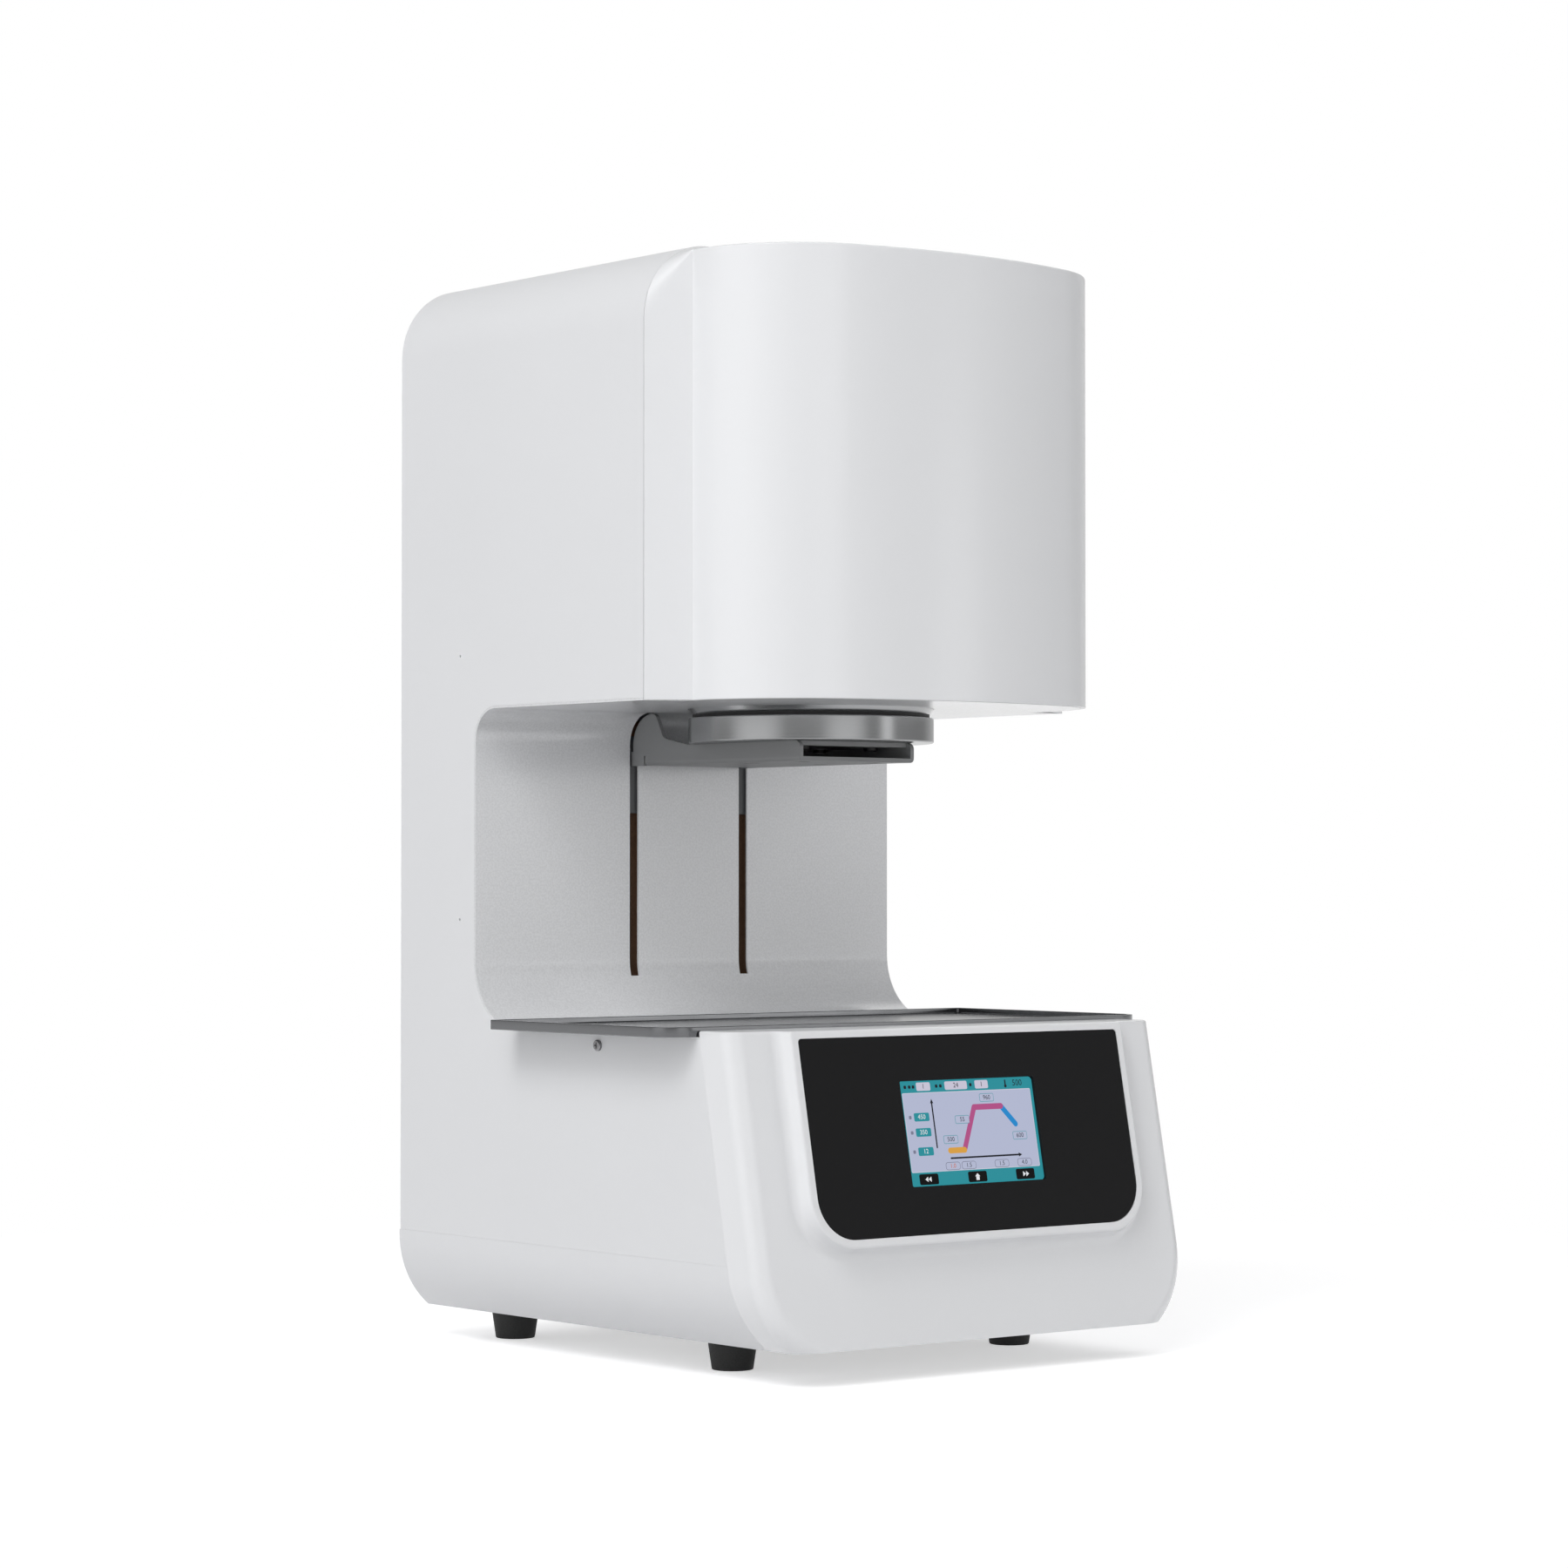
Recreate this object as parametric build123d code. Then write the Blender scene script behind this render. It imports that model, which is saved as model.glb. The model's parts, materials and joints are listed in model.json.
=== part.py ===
"""Dental lab porcelain furnace: a C-shaped bench-top case with a firing chamber in its head,
a lifting firing table below it, a lead-screw lift in its column and a control panel in its base.

Frame: +X right as seen from the front, front towards -Y, +Z up, origin at the centre of the
bottom of the bounding box. Depths are given as distances forward of the rear plane.
"""
from build123d import *
from math import atan2, cos, hypot, radians, sin, sqrt, tan
import os

os.makedirs("parts", exist_ok=True)

# ---- overall sizes, mm ----
case_w = 295.0  # case width
case_top = 590.0  # height of the case above the bench
stub_reach = 18.0  # rear plane to the tip of the vacuum stub
foot_h = 17.5  # feet, which set the height of the case's underside
sheet = 1.2  # wrap and panel sheet
gap = 0.2  # assembly gap between fixed covers
round_gap = 0.3  # gap between curved faces of neighbouring pieces
run = 0.05  # radial running clearance of shafts

# ---- case outline ----
top_r = 42.0  # upper corner radius
low_r = 52.0  # lower corner radius, which the flat underside cuts off
low_start = 58.0  # height where the lower corners start
pan_z = 60.5  # joint between the pan and the wrap
pan_t = 1.5  # pan sheet
pan_joint = 0.05  # pan to the wrap
pan_lap = 1.0  # how far the pan stands behind the rear panel
panel_t = 1.5  # rear panel sheet
flange_w = 12.0  # inward flange of the wrap behind the rear panel
flange_t = 1.2

# ---- throat between the base and the head ----
head_depth = 226.0  # rear plane to the head cover's joint
column_depth = 73.0  # rear plane to the column's front face
head_z = 349.5  # underside of the head
base_z = 175.8  # top of the base
low_bend = 36.0  # liner bend radius above the base
high_bend = 18.0  # liner bend radius under the head
liner_t = 1.3
slot_x = 39.0  # centre of each lift slot
slot_w = 6.0
slot_low = 202.0  # lower end of the slots
slot_high_d = 98.0  # upper end of the slots, on the head's underside

# ---- head cover ----
cover_wall = 2.4
cover_half = 126.5  # half width where the corner arcs start
cover_joint = 14.7  # depth of the sloping margin in front of the joint
cover_top = 585.0
cover_front = 318.0
cover_front_r = 288.0
cover_low = head_z + 0.2
crease_r = 5.0  # soft crease between the margin and the front
cover_edge_r = 1.2

# ---- bezel and control panel ----
tilt = 11.3  # lean of the control panel, degrees
seam_d = 274.0  # bezel joint at the top of the base
bezel_depth = 25.0  # joint to the bezel's front face, square to the face
bezel_top = 179.0
bezel_wall = 2.5
bezel_edge_r = 9.0
boss_h = 8.6  # raised rim round the control panel
boss_rim = 4.4
boss_taper = 20.0
boss_cove = 6.0  # hollow curve from the bezel up to the rim
boss_edge_r = 1.5
bezel_top_r = 1.6
fascia_w = 221.4
fascia_h = 103.7
fascia_t = 1.8
fascia_drop = 7.55  # below the joint's top
fascia_low_r = 22.0
fascia_top_r = 2.0
fascia_sink = 0.4  # below the rim
window_w = 93.0
window_h = 55.2
window_drop = 23.5
glass_t = 1.1
glass_rim = 2.0
module_t = 5.0
display_pcb_gap = 6.0

# ---- cooling tray ----
tray_over = 19.5  # overhang on each side
tray_t = 5.2
tray_rear = 114.5
tray_corner = 17.0
tray_rim = 2.6
tray_sink = 2.8
tray_gap = 0.4  # tray to the bezel

# ---- feet ----
foot_top_r = 13.5
foot_low_r = 10.9
foot_x = 97.0
foot_ds = (237.0, 40.0)
foot_hole_r = 2.2
foot_socket_r = 4.6  # recess for the screw's head
foot_web = 6.0  # rubber left above the recess

# ---- lift ----
axis_d = 183.0  # axis of the chamber and the table
travel = 115.0
table_r = 67.4
table_z = 330.8
table_t = 13.7
seal_r = 65.2
seal_w = 6.0
cheek_t = 2.4
web_z = 320.0
web_t = 2.4
web_rear = 84.8
bracket_front = 223.0
tab_low = 293.5
tab_high = 337.0
plate_front = 62.0
bracket_screw_x = 28.0
bracket_screw_rise = 14.0
table_screw_x = 24.0
table_screw_y = 22.0
fan_edge_gap = 0.6  # bracket to the liner's upper bend
crown_r = 4.8
crown_d = 94.4
notch_r = 4.5
notch_d = 101.75
notch_z = 335.1
toe_d = 124.5
arm_front_r = 3.5
arm_bend_r = 2.5
relief_w = 1.2  # slit where the arm's lower bends start
relief_h = 5.5
saddle_d0 = 138.0  # plate under the table
saddle_t = 2.4
shutter_in = 5.5  # plates behind the slots, each side of the arm
shutter_out = 6.0
shutter_t = 2.4
seal_lip_d = 65.5  # dust strips behind the slots
seal_lip_t = 1.8
seal_slit = 1.8  # half width left open for the arm
carriage_d = 46.0  # screw and guide rod plane
carriage_w = 144.0
carriage_t = 26.6
carriage_low = 295.0
carriage_h = 42.0
rod_x = 55.0
rod_r = 6.0
bush_r = 10.5
bush_len = 30.0
bush_flange_r = 15.0
bush_flange_t = 5.0
screw_r = 4.0
nut_r = 7.0
nut_flange_r = 12.0
nut_flange_t = 3.5
lower_plate_z = 116.0
lower_plate_t = 4.0
upper_plate_z = 351.6
lift_plate_d0 = 22.0
lift_plate_d1 = 62.0
upper_plate_t = 8.0
motor_w = 42.3
motor_h = 48.0
motor_screw_x = 15.5
motor_screw_y = 14.0
shaft_r = 2.5
coupling_r = 9.5
coupling_z = 127.0
coupling_h = 25.0
bearing_r = 11.0
bearing_t = 7.0

# ---- firing chamber ----
muffle_r = 48.5
muffle_step = 0.5  # the mouth is this much tighter than the muffle
mouth_r = muffle_r - muffle_step
shelf_z = 351.6
shelf_t = 3.0
shelf_front = 205.0
flange_drop = 3.0  # how far the chamber flange stands below the head
muffle_wall = 3.0
muffle_h = 128.0
coil_r = muffle_r + 7.5
wire_r = 1.6
coil_turns = 10
coil_pitch = 11.0
lead_r = 2.5
cap_hole_r = 3.4  # holes for the leads and the thermocouple
terminal_xs = [-30.0, 30.0]
brick_bore = coil_r + 4.0
brick_r = brick_bore + 32.0
brick_h = 44.0
brick_count = 3
cap_h = 36.0
can_wall = 1.2
pedestal_r = muffle_r - 4.5
pedestal_h = 28.0
tray_r = pedestal_r - 11.0
peg_tray_t = 7.0
peg_step = 9.0
peg_r = 1.8

# ---- fastenings of the case ----
side_screw_z = 169.0
side_screw_d = 187.0
screw_hole_r = 1.7  # clearance holes for M3 screws
pin_r = 0.8
pin_places = [(58.0, 379.0), (58.0, 234.0)]  # distance forward and height
rear_screw_in = 7.0  # rear screws in from the wrap
rear_screw_zs = (70.0, 190.0, 330.0, 470.0)
rear_screw_x = 60.0

# ---- pan and rear panel openings ----
vent_count = 7
vent_start = 70.0
vent_pitch = 9.0
vent_w = 3.0
vent_len = 60.0
vent_x = 45.0
louvre_count = 8
louvre_z = 306.0
louvre_pitch = 9.0
louvre_h = 3.2
louvre_w = 60.0
louvre_x = 70.0

# ---- rear fittings ----
fan_z = 480.0
fan_size = 80.0
fan_depth = 25.0
fan_pitch = 71.5
fan_bore = 37.5
fan_hub_r = 16.0
fan_axle_r = 2.0
blade_count = 7
guard_rings = (12.0, 20.0, 28.0, 36.0)
guard_wire = 1.0
inlet_x = -85.0
pump_x = 85.0
socket_z = 95.0
socket_body_w = 40.0
socket_body_h = 24.0
socket_depth = 26.0
blade_places = [(-7.0, -3.0), (0.0, 1.5), (7.0, -3.0)]
switch_z = 135.0
switch_w = 13.0
switch_h = 19.2
rocker_throw = 16.0  # degrees from off to on
rocker_d = 2.0
vacuum_x = 65.0
vacuum_z = 404.0
stub_r = 4.0
stub_neck_r = 5.0
stub_inner = 12.0
tube_r = 3.0
valve_d0 = 32.0
valve_d1 = 64.0

# ---- electronics in the base ----
supply_h = 38.0
board_x0 = 12.0
board_x1 = 105.0
board_d0 = 140.0
board_d1 = 222.0
board_t = 1.6
board_raise = 8.0
stand_bore = 1.6
board_corners = [(16.5, 157.0), (100.5, 157.0), (16.5, 217.5), (100.5, 217.5)]
fin_count = 9
fin_pitch = 7.9
fin_top = 26.0
sink_plate = 5.0
sink_x0 = -80.0
sink_x1 = -15.0
sink_d0 = 75.0
sink_d1 = 130.0
relay_h = 20.0

# ---- derived places ----
half = case_w / 2
frame_half = half - 5.5  # shelf and plates, inside the uprights
pan_low = foot_h
sin_t = sin(radians(tilt))
cos_t = cos(radians(tilt))
tan_t = tan(radians(tilt))
reach = seam_d + (base_z - pan_low) * tan_t + bezel_depth / cos_t
y_back = (reach - stub_reach) / 2
pan_floor = pan_low + pan_t
shelf_top = shelf_z + shelf_t
ring_low = head_z - flange_drop
table_top = table_z + table_t
far = reach + 80.0
plate_back = carriage_d + carriage_t / 2 + 0.1
lean_axis = Axis((0, 0, 0), (0, -cos_t, sin_t))
bracket_screw_places = [(sx * bracket_screw_x, (tab_low + tab_high) / 2 + sz * bracket_screw_rise)
                        for sx in (-1, 1) for sz in (-1, 1)]
table_screw_places = [(sx * table_screw_x, axis_d + sy * table_screw_y) for sx in (-1, 1) for sy in (-1, 1)]
motor_screw_places = [(sx * motor_screw_x, carriage_d + sy * motor_screw_y)
                      for sx in (-1, 1) for sy in (-1, 1)]
rear_screw_places = [(s * (half - sheet - rear_screw_in), z) for s in (-1, 1) for z in rear_screw_zs]
rear_screw_places += [(s * rear_screw_x, case_top - sheet - rear_screw_in) for s in (-1, 1)]
fan_screw_places = [(sx * fan_pitch / 2, fan_z + sz * fan_pitch / 2) for sx in (-1, 1) for sz in (-1, 1)]


def fwd(d):
    """Y of the plane a distance d forward of the rear plane."""
    return y_back - d


def slab(x0, x1, d0, d1, z0, z1):
    return Pos((x0 + x1) / 2, fwd((d0 + d1) / 2), (z0 + z1) / 2) * Box(x1 - x0, d1 - d0, z1 - z0)


def post(x, d, z0, z1, r, r_top=None):
    """Vertical cylinder, or a cone when a second radius is given."""
    place = Pos(x, fwd(d), (z0 + z1) / 2)
    if r_top is None:
        return place * Cylinder(r, z1 - z0)
    return place * Cone(r, r_top, z1 - z0)


def bar(x, z, d0, d1, r):
    """Cylinder running front to back."""
    return Pos(x, fwd((d0 + d1) / 2), z) * Rot(90, 0, 0) * Cylinder(r, d1 - d0)


def across(x0, x1, d, z, r):
    """Cylinder running left to right."""
    return Pos((x0 + x1) / 2, fwd(d), z) * Rot(0, 90, 0) * Cylinder(r, x1 - x0)


def tube(x, d, z0, z1, r_out, r_in):
    return post(x, d, z0, z1, r_out) - post(x, d, z0 - 1, z1 + 1, r_in)


def front_plane(d):
    return Plane(origin=(0, fwd(d), 0), x_dir=(1, 0, 0), z_dir=(0, -1, 0))


def outline(points, radii):
    return make_face(FilletPolyline(*points, radius=radii, close=True))


def front_section(points, radii, d0, d1):
    """Outline in X and Z, run forward from d0 to d1."""
    return extrude(front_plane(d0) * outline(points, radii), amount=d1 - d0)


def side_section(points, radii, x0, x1):
    """Outline in forward distance and Z, run from x0 to x1."""
    plane = Plane(origin=(x1, y_back, 0), x_dir=(0, -1, 0), z_dir=(-1, 0, 0))
    return extrude(plane * outline(points, radii), amount=x1 - x0)


def plan_section(points, radii, z0, z1):
    """Outline in X and forward distance, run up from z0 to z1."""
    plane = Plane(origin=(0, y_back, z1), x_dir=(1, 0, 0), z_dir=(0, 0, -1))
    return extrude(plane * outline(points, radii), amount=z1 - z0)


def rect(x0, x1, z0, z1):
    return [(x0, z0), (x1, z0), (x1, z1), (x0, z1)]


def each_side(solid):
    return [solid, mirror(solid, about=Plane.YZ)]


def screw(x, d, z, r, length, head_r, head_h, rot):
    """Pan-head screw whose head sits at a point and whose shank runs along local -Z."""
    shank = Pos(0, 0, -length / 2) * Cylinder(r, length)
    head = Pos(0, 0, head_h / 2) * Cylinder(head_r, head_h)
    head = fillet(head.edges().group_by(Axis.Z)[-1], head_h * 0.45)
    slot = Pos(0, 0, head_h) * Box(head_r * 1.1, head_r * 0.25, head_h)
    cross = Pos(0, 0, head_h) * Box(head_r * 0.25, head_r * 1.1, head_h)
    return Pos(x, fwd(d), z) * rot * (shank + head - slot - cross)


# ---- case ----
def case_section(inset, z_low, radius_low, d0, d1):
    """Rounded case outline, inset by a wall, from a lower level to the top."""
    low = max(radius_low - inset, 0)
    radii = [low, low, top_r - inset, top_r - inset]
    return front_section(rect(inset - half, half - inset, z_low, case_top - inset), radii, d0, d1)


def low_section(inset, z0, z1, d0, d1):
    """Lower case outline with its cut-off round corners, between two levels."""
    points = rect(inset - half, half - inset, low_start - low_r + inset, z1)
    radius = low_r - inset
    body = front_section(points, [radius, radius, 0, 0], d0, d1)
    return body - slab(-half - 1, half + 1, d0 - 1, d1 + 1, 0, z0)


def throat(offset, x0, x1, d_end=far):
    """Space between the base and the head, grown by an offset into the case."""
    points = [(d_end, base_z - offset), (column_depth - offset, base_z - offset),
              (column_depth - offset, head_z + offset), (d_end, head_z + offset)]
    return side_section(points, [0, low_bend + offset, high_bend + offset, 0], x0, x1)


def ahead_of_seam(shift=0.0):
    """Everything in front of the leaning joint between the base and the bezel."""
    z0, z1 = 0.0, bezel_top + 30
    points = [(seam_at(z1) + shift, z1), (seam_at(z0) + shift, z0), (far, z0), (far, z1)]
    return side_section(points, [0, 0, 0, 0], -half - 20, half + 20)


def seam_at(z):
    return seam_d + (base_z - z) * tan_t


def outer_wrap():
    body = case_section(0, pan_z + pan_joint, 0, 0, seam_at(pan_z) + 5)
    body -= case_section(sheet, pan_z - 5, 0, -1, seam_at(pan_z) + 10)
    flange = case_section(sheet, pan_z + gap, 0, panel_t + 0.1, panel_t + 0.1 + flange_t)
    flange -= case_section(sheet + flange_w, pan_z - 5, 0, 0, panel_t + 5)
    body += flange
    body -= throat(liner_t + 0.05, -half - 1, half + 1)
    body -= slab(-half - 1, half + 1, head_depth, far, head_z - 20, case_top + 5)
    body -= ahead_of_seam()
    body -= across(-half - 1, half + 1, side_screw_d, side_screw_z, screw_hole_r)
    for d, z in pin_places:
        body -= across(-half - 1, half + 1, d, z, pin_r)
    for x, z in rear_screw_places:
        body -= bar(x, z, -2, panel_t + 5, screw_hole_r)
    return body


def bottom_pan():
    body = low_section(0, pan_low, pan_z, -pan_lap, seam_at(pan_low) + 10)
    body -= low_section(pan_t, pan_low + pan_t, pan_z + 20, pan_t - pan_lap, far)
    body -= ahead_of_seam()
    for x in (-foot_x, foot_x):
        for d in foot_ds:
            body -= post(x, d, 0, pan_low + 10, foot_hole_r)
    for i in range(vent_count):
        d = vent_start + i * vent_pitch
        for x in (-vent_x, vent_x):
            body -= slab(x - vent_len / 2, x + vent_len / 2, d, d + vent_w, 0, pan_low + 10)
    return body


def rear_panel():
    inset = sheet + gap
    radius = top_r - inset
    points = rect(inset - half, half - inset, pan_z + gap, case_top - inset)
    body = front_section(points, [0, 0, radius, radius], 0, panel_t)
    for x, z in rear_screw_places + fan_screw_places:
        body -= bar(x, z, -5, 5, screw_hole_r)
    body -= bar(0, fan_z, -5, 5, fan_bore)
    for x, z, w, h in ((inlet_x, socket_z, socket_body_w, socket_body_h),
                       (pump_x, socket_z, socket_body_w, socket_body_h),
                       (inlet_x, switch_z, switch_w, switch_h)):
        body -= slab(x - w / 2, x + w / 2, -5, 5, z - h / 2, z + h / 2)
    body -= bar(vacuum_x, vacuum_z, -5, 5, stub_neck_r + gap)
    for i in range(louvre_count):
        z = louvre_z + i * louvre_pitch
        for x in (-louvre_x, louvre_x):
            body -= slab(x - louvre_w / 2, x + louvre_w / 2, -5, 5, z, z + louvre_h)
    return body


def cover_plan(inset):
    """Half-round plan of the head cover in X and forward distance: side arcs and a long front arc."""
    corner_x, corner_d, corner_r = cover_corner()
    centre_d = cover_front - cover_front_r
    away = hypot(corner_x, corner_d - centre_d)
    ux, ud = corner_x / away, (corner_d - centre_d) / away
    front_r = cover_front_r - inset
    side_r = corner_r - inset
    join = (front_r * ux, centre_d + front_r * ud)
    mid = atan2(ud, ux) / 2
    side_mid = (corner_x + side_r * cos(mid), corner_d + side_r * sin(mid))
    start = (corner_x + side_r, corner_d)
    right = ThreePointArc(start, side_mid, join)
    front = ThreePointArc(join, (0, centre_d + front_r), (-join[0], join[1]))
    left = ThreePointArc((-join[0], join[1]), (-side_mid[0], side_mid[1]), (-start[0], start[1]))
    return right, front, left, start


def cover_corner():
    """Centre and radius of the corner arcs, which start square to the joint and meet the front arc."""
    d = head_depth + cover_joint
    centre_d = cover_front - cover_front_r
    rise = d - centre_d
    radius = (cover_front_r ** 2 - rise ** 2 - cover_half ** 2) / (2 * (cover_front_r - cover_half))
    return cover_half - radius, d, radius


def cover_prism(inset, z0, z1, d_back):
    right, front, left, start = cover_plan(inset)
    back = Polyline((-start[0], start[1]), (-start[0], d_back), (start[0], d_back), start)
    plane = Plane(origin=(0, y_back, z1), x_dir=(1, 0, 0), z_dir=(0, 0, -1))
    return extrude(plane * make_face([right, front, left, back]), amount=z1 - z0)


def cover_margin(inset, z0):
    """Sloping margin between the case outline and the front of the head cover."""
    d1 = head_depth + cover_joint
    wide = rect(inset - half, half - inset, z0, case_top - inset)
    slim = rect(inset - cover_half, cover_half - inset, z0, cover_top - inset)
    rear = front_plane(head_depth) * outline(wide, [0, 0, top_r - inset, top_r - inset])
    front = front_plane(d1) * outline(slim, [0, 0, 0.8, 0.8])
    return loft([rear, front], ruled=True)


def head_cover():
    joint = head_depth + gap
    prism = cover_prism(0, cover_low, cover_top, head_depth + cover_joint - 0.2)
    prism = fillet(prism.edges().group_by(Axis.Z)[-1].filter_by(GeomType.CIRCLE), cover_edge_r)
    body = prism + cover_margin(0, cover_low)
    body -= cover_prism(cover_wall, cover_low - 5, cover_top - cover_wall, head_depth + cover_joint - 0.2)
    body -= cover_margin(cover_wall, cover_low - 5)
    body -= slab(-half - 1, half + 1, head_depth - 5, joint, cover_low - 10, case_top + 10)
    return body


def column_liner():
    """Bent sheet that lines the throat and closes the head from below."""
    body = throat(liner_t, -half, half) - throat(0, -half - 1, half + 1, far + 1)
    body -= ahead_of_seam(-gap)
    body -= slab(-half - 1, half + 1, head_depth, far, head_z - 5, head_z + 10)
    tongue = cover_prism(cover_wall + round_gap, head_z, head_z + liner_t, head_depth - 1)
    body += tongue
    body -= post(0, axis_d, head_z - 10, head_z + 10, table_r + round_gap)
    for x in (-slot_x, slot_x):
        slot = slab(x - slot_w / 2, x + slot_w / 2, column_depth - 10, slot_high_d,
                    slot_low, head_z + liner_t + 1)
        body -= slot
    tab = slab(half - sheet - gap - 6, half - sheet - gap, side_screw_d - 12, side_screw_d + 12,
               side_screw_z - 7, base_z - liner_t)
    tab -= across(half - 20, half, side_screw_d, side_screw_z, 1.5)
    for piece in each_side(tab):
        body += piece
    return body


def frame_upright(side):
    """Angle upright that carries the wrap, the liner and the lift plates."""
    outer = half - sheet - 0.3
    web = slab(outer - 2, outer, 45, column_depth - liner_t - 0.3, 60, 585)
    lip = slab(outer - 30, outer, column_depth - liner_t - 2.3, column_depth - liner_t - 0.3, 12, 585)
    body = web + lip
    body = body & low_section(sheet + 0.3, pan_low + pan_t + 0.3, case_top, 10, 200)
    body = body & case_section(sheet + 0.3, 0, 0, 10, 200)
    for d, z in pin_places:
        body -= across(outer - 5, outer + 5, d, z, pin_r)
    return body if side > 0 else mirror(body, about=Plane.YZ)


# ---- bezel and display ----
def face_plane(n):
    """Plane parallel to the control panel, n mm in front of the leaning joint."""
    origin = (0, fwd(seam_d) - cos_t * n, base_z + sin_t * n)
    return Plane(origin=origin, x_dir=(1, 0, 0), z_dir=(0, -cos_t, sin_t))


def on_face(points, radii, n0, n1, taper=0.0):
    return extrude(face_plane(n0) * outline(points, radii), amount=n1 - n0, taper=taper)


def bezel_block(inset, n1):
    """Bezel volume, flush with the case, with a long edge round its sides and lower corners."""
    points = rect(inset - half, half - inset, low_start - low_r + inset, case_top)
    radius = low_r - inset
    body = front_section(points, [radius, radius, 0, 0], seam_d - 100, far)
    tall = 2 * case_top
    body = body & on_face(rect(-half, half, -tall, tall), [0] * 4, 0, n1)
    face_edges = body.faces().sort_by(lean_axis)[-1].edges()
    top_edge = face_edges.sort_by(Axis.Z)[-1]
    ring = [edge for edge in face_edges if (edge @ 0.5 - top_edge @ 0.5).length > 1]
    return fillet(ring, bezel_edge_r - inset)


def fascia_box(grow, top=None):
    """Corners of the fascia, grown on all sides, as X and height on the face."""
    high = grow - fascia_drop if top is None else top
    return rect(-fascia_w / 2 - grow, fascia_w / 2 + grow, -fascia_drop - fascia_h - grow, high)


def front_bezel():
    """White moulding in front of the base: a shell with a raised rim round the control panel."""
    body = bezel_block(0, bezel_depth)
    spread = boss_h * tan(radians(boss_taper))
    radius = fascia_low_r + boss_rim + spread
    corners = fascia_box(boss_rim + spread, case_top / 2)
    body += on_face(corners, [radius] * 4, bezel_depth, bezel_depth + boss_h, taper=boss_taper)
    body = fillet(edges_at(body, bezel_depth + boss_h), boss_edge_r)
    foot_x_limit = fascia_w / 2 + boss_rim + spread + 0.1
    foot_y_limit = -fascia_drop - fascia_h - boss_rim - spread - 0.1
    foot = [edge for edge in edges_at(body, bezel_depth) if abs((edge @ 0.5).X) < foot_x_limit
            and face_plane(0).to_local_coords(edge @ 0.5).Y > foot_y_limit]
    body = fillet(foot, boss_cove)
    body -= slab(-half - 5, half + 5, 0, far, bezel_top, 2 * far)
    top_front = body.faces().sort_by(Axis.Z)[-1].edges().sort_by(Axis.Y)[:3]
    body = fillet([e for e in top_front if e.length > 10], bezel_top_r)
    seat = fascia_front() - fascia_t
    hollow = bezel_block(bezel_wall, bezel_depth - bezel_wall)
    radius = fascia_low_r + boss_rim - bezel_wall
    hollow += on_face(fascia_box(boss_rim - bezel_wall), [radius] * 4, 0, seat - bezel_wall)
    body -= hollow - slab(-half, half, 0, far, bezel_top - bezel_wall, 2 * far)
    low = fascia_low_r + gap
    top = fascia_top_r + gap
    body -= on_face(fascia_box(gap), [low, low, top, top], seat, seat + 20)
    body -= on_face(window_box(glass_rim + gap), [1, 1, 1, 1], 0, seat + 1)
    body -= slab(-half - 5, half + 5, 0, far, -50, pan_low)
    for pillar in display_posts():
        body += pillar
    return body


def edges_at(body, n):
    """Edges that lie in the plane n mm in front of the leaning joint."""
    plane = face_plane(n)
    return [edge for edge in body.edges()
            if all(abs(plane.to_local_coords(edge @ t).Z) < 0.01 for t in (0, 0.5, 1))]


def window_box(grow):
    top = -fascia_drop - window_drop
    return rect(-window_w / 2 - grow, window_w / 2 + grow, top - window_h - grow, top + grow)


def fascia_front():
    return bezel_depth + boss_h - fascia_sink


def control_fascia():
    n1 = fascia_front()
    radii = [fascia_low_r, fascia_low_r, fascia_top_r, fascia_top_r]
    body = on_face(fascia_box(0), radii, n1 - fascia_t, n1)
    return body - on_face(window_box(0), [1, 1, 1, 1], 0, n1 + 5)


def touch_glass():
    n1 = fascia_front() - fascia_t
    return on_face(window_box(glass_rim), [1, 1, 1, 1], n1 - glass_t, n1)


def display_module():
    n1 = fascia_front() - fascia_t - glass_t
    return on_face(window_box(glass_rim - 0.2), [0.5] * 4, n1 - module_t, n1)


def display_board():
    n1 = display_board_n()
    body = on_face(window_box(14), [3] * 4, n1 - 1.6, n1)
    for x, y in post_places():
        body -= face_plane(n1) * (Pos(x, y, 0) * Cylinder(1.6, 10))
    return body


def display_posts():
    """Posts moulded inside the bezel, which the display board stands on."""
    n1 = fascia_front() - fascia_t - bezel_wall + 0.5
    n0 = display_board_n()
    return [face_plane(n0) * (Pos(x, y, (n1 - n0) / 2) * Cylinder(3.0, n1 - n0)) for x, y in post_places()]


def display_board_n():
    return fascia_front() - fascia_t - glass_t - module_t - display_pcb_gap


def post_places():
    top = -fascia_drop - window_drop
    xs = (-window_w / 2 - 9, window_w / 2 + 9)
    return [(x, y) for x in xs for y in (top + 9, top - window_h - 9)]


# ---- tray and feet ----
def tray_front():
    """Front edge of the cooling tray, just behind the bezel's leaning joint."""
    return seam_at(base_z + tray_t) - tray_gap


def cooling_tray():
    """Flat tray with a low rim, wider than the case, with rounded front corners."""
    wing = half + tray_over
    outer = [(-wing, tray_rear), (wing, tray_rear), (wing, tray_front()), (-wing, tray_front())]
    body = plan_section(outer, [2, 2, tray_corner, tray_corner], base_z, base_z + tray_t)
    wing -= tray_rim
    rear = tray_rear + tray_rim
    front = tray_front() - tray_rim
    inner = [(-wing, rear), (wing, rear), (wing, front), (-wing, front)]
    radius = tray_corner - tray_rim
    top = base_z + tray_t
    return body - plan_section(inner, [1, 1, radius, radius], top - tray_sink, top + 5)


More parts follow.
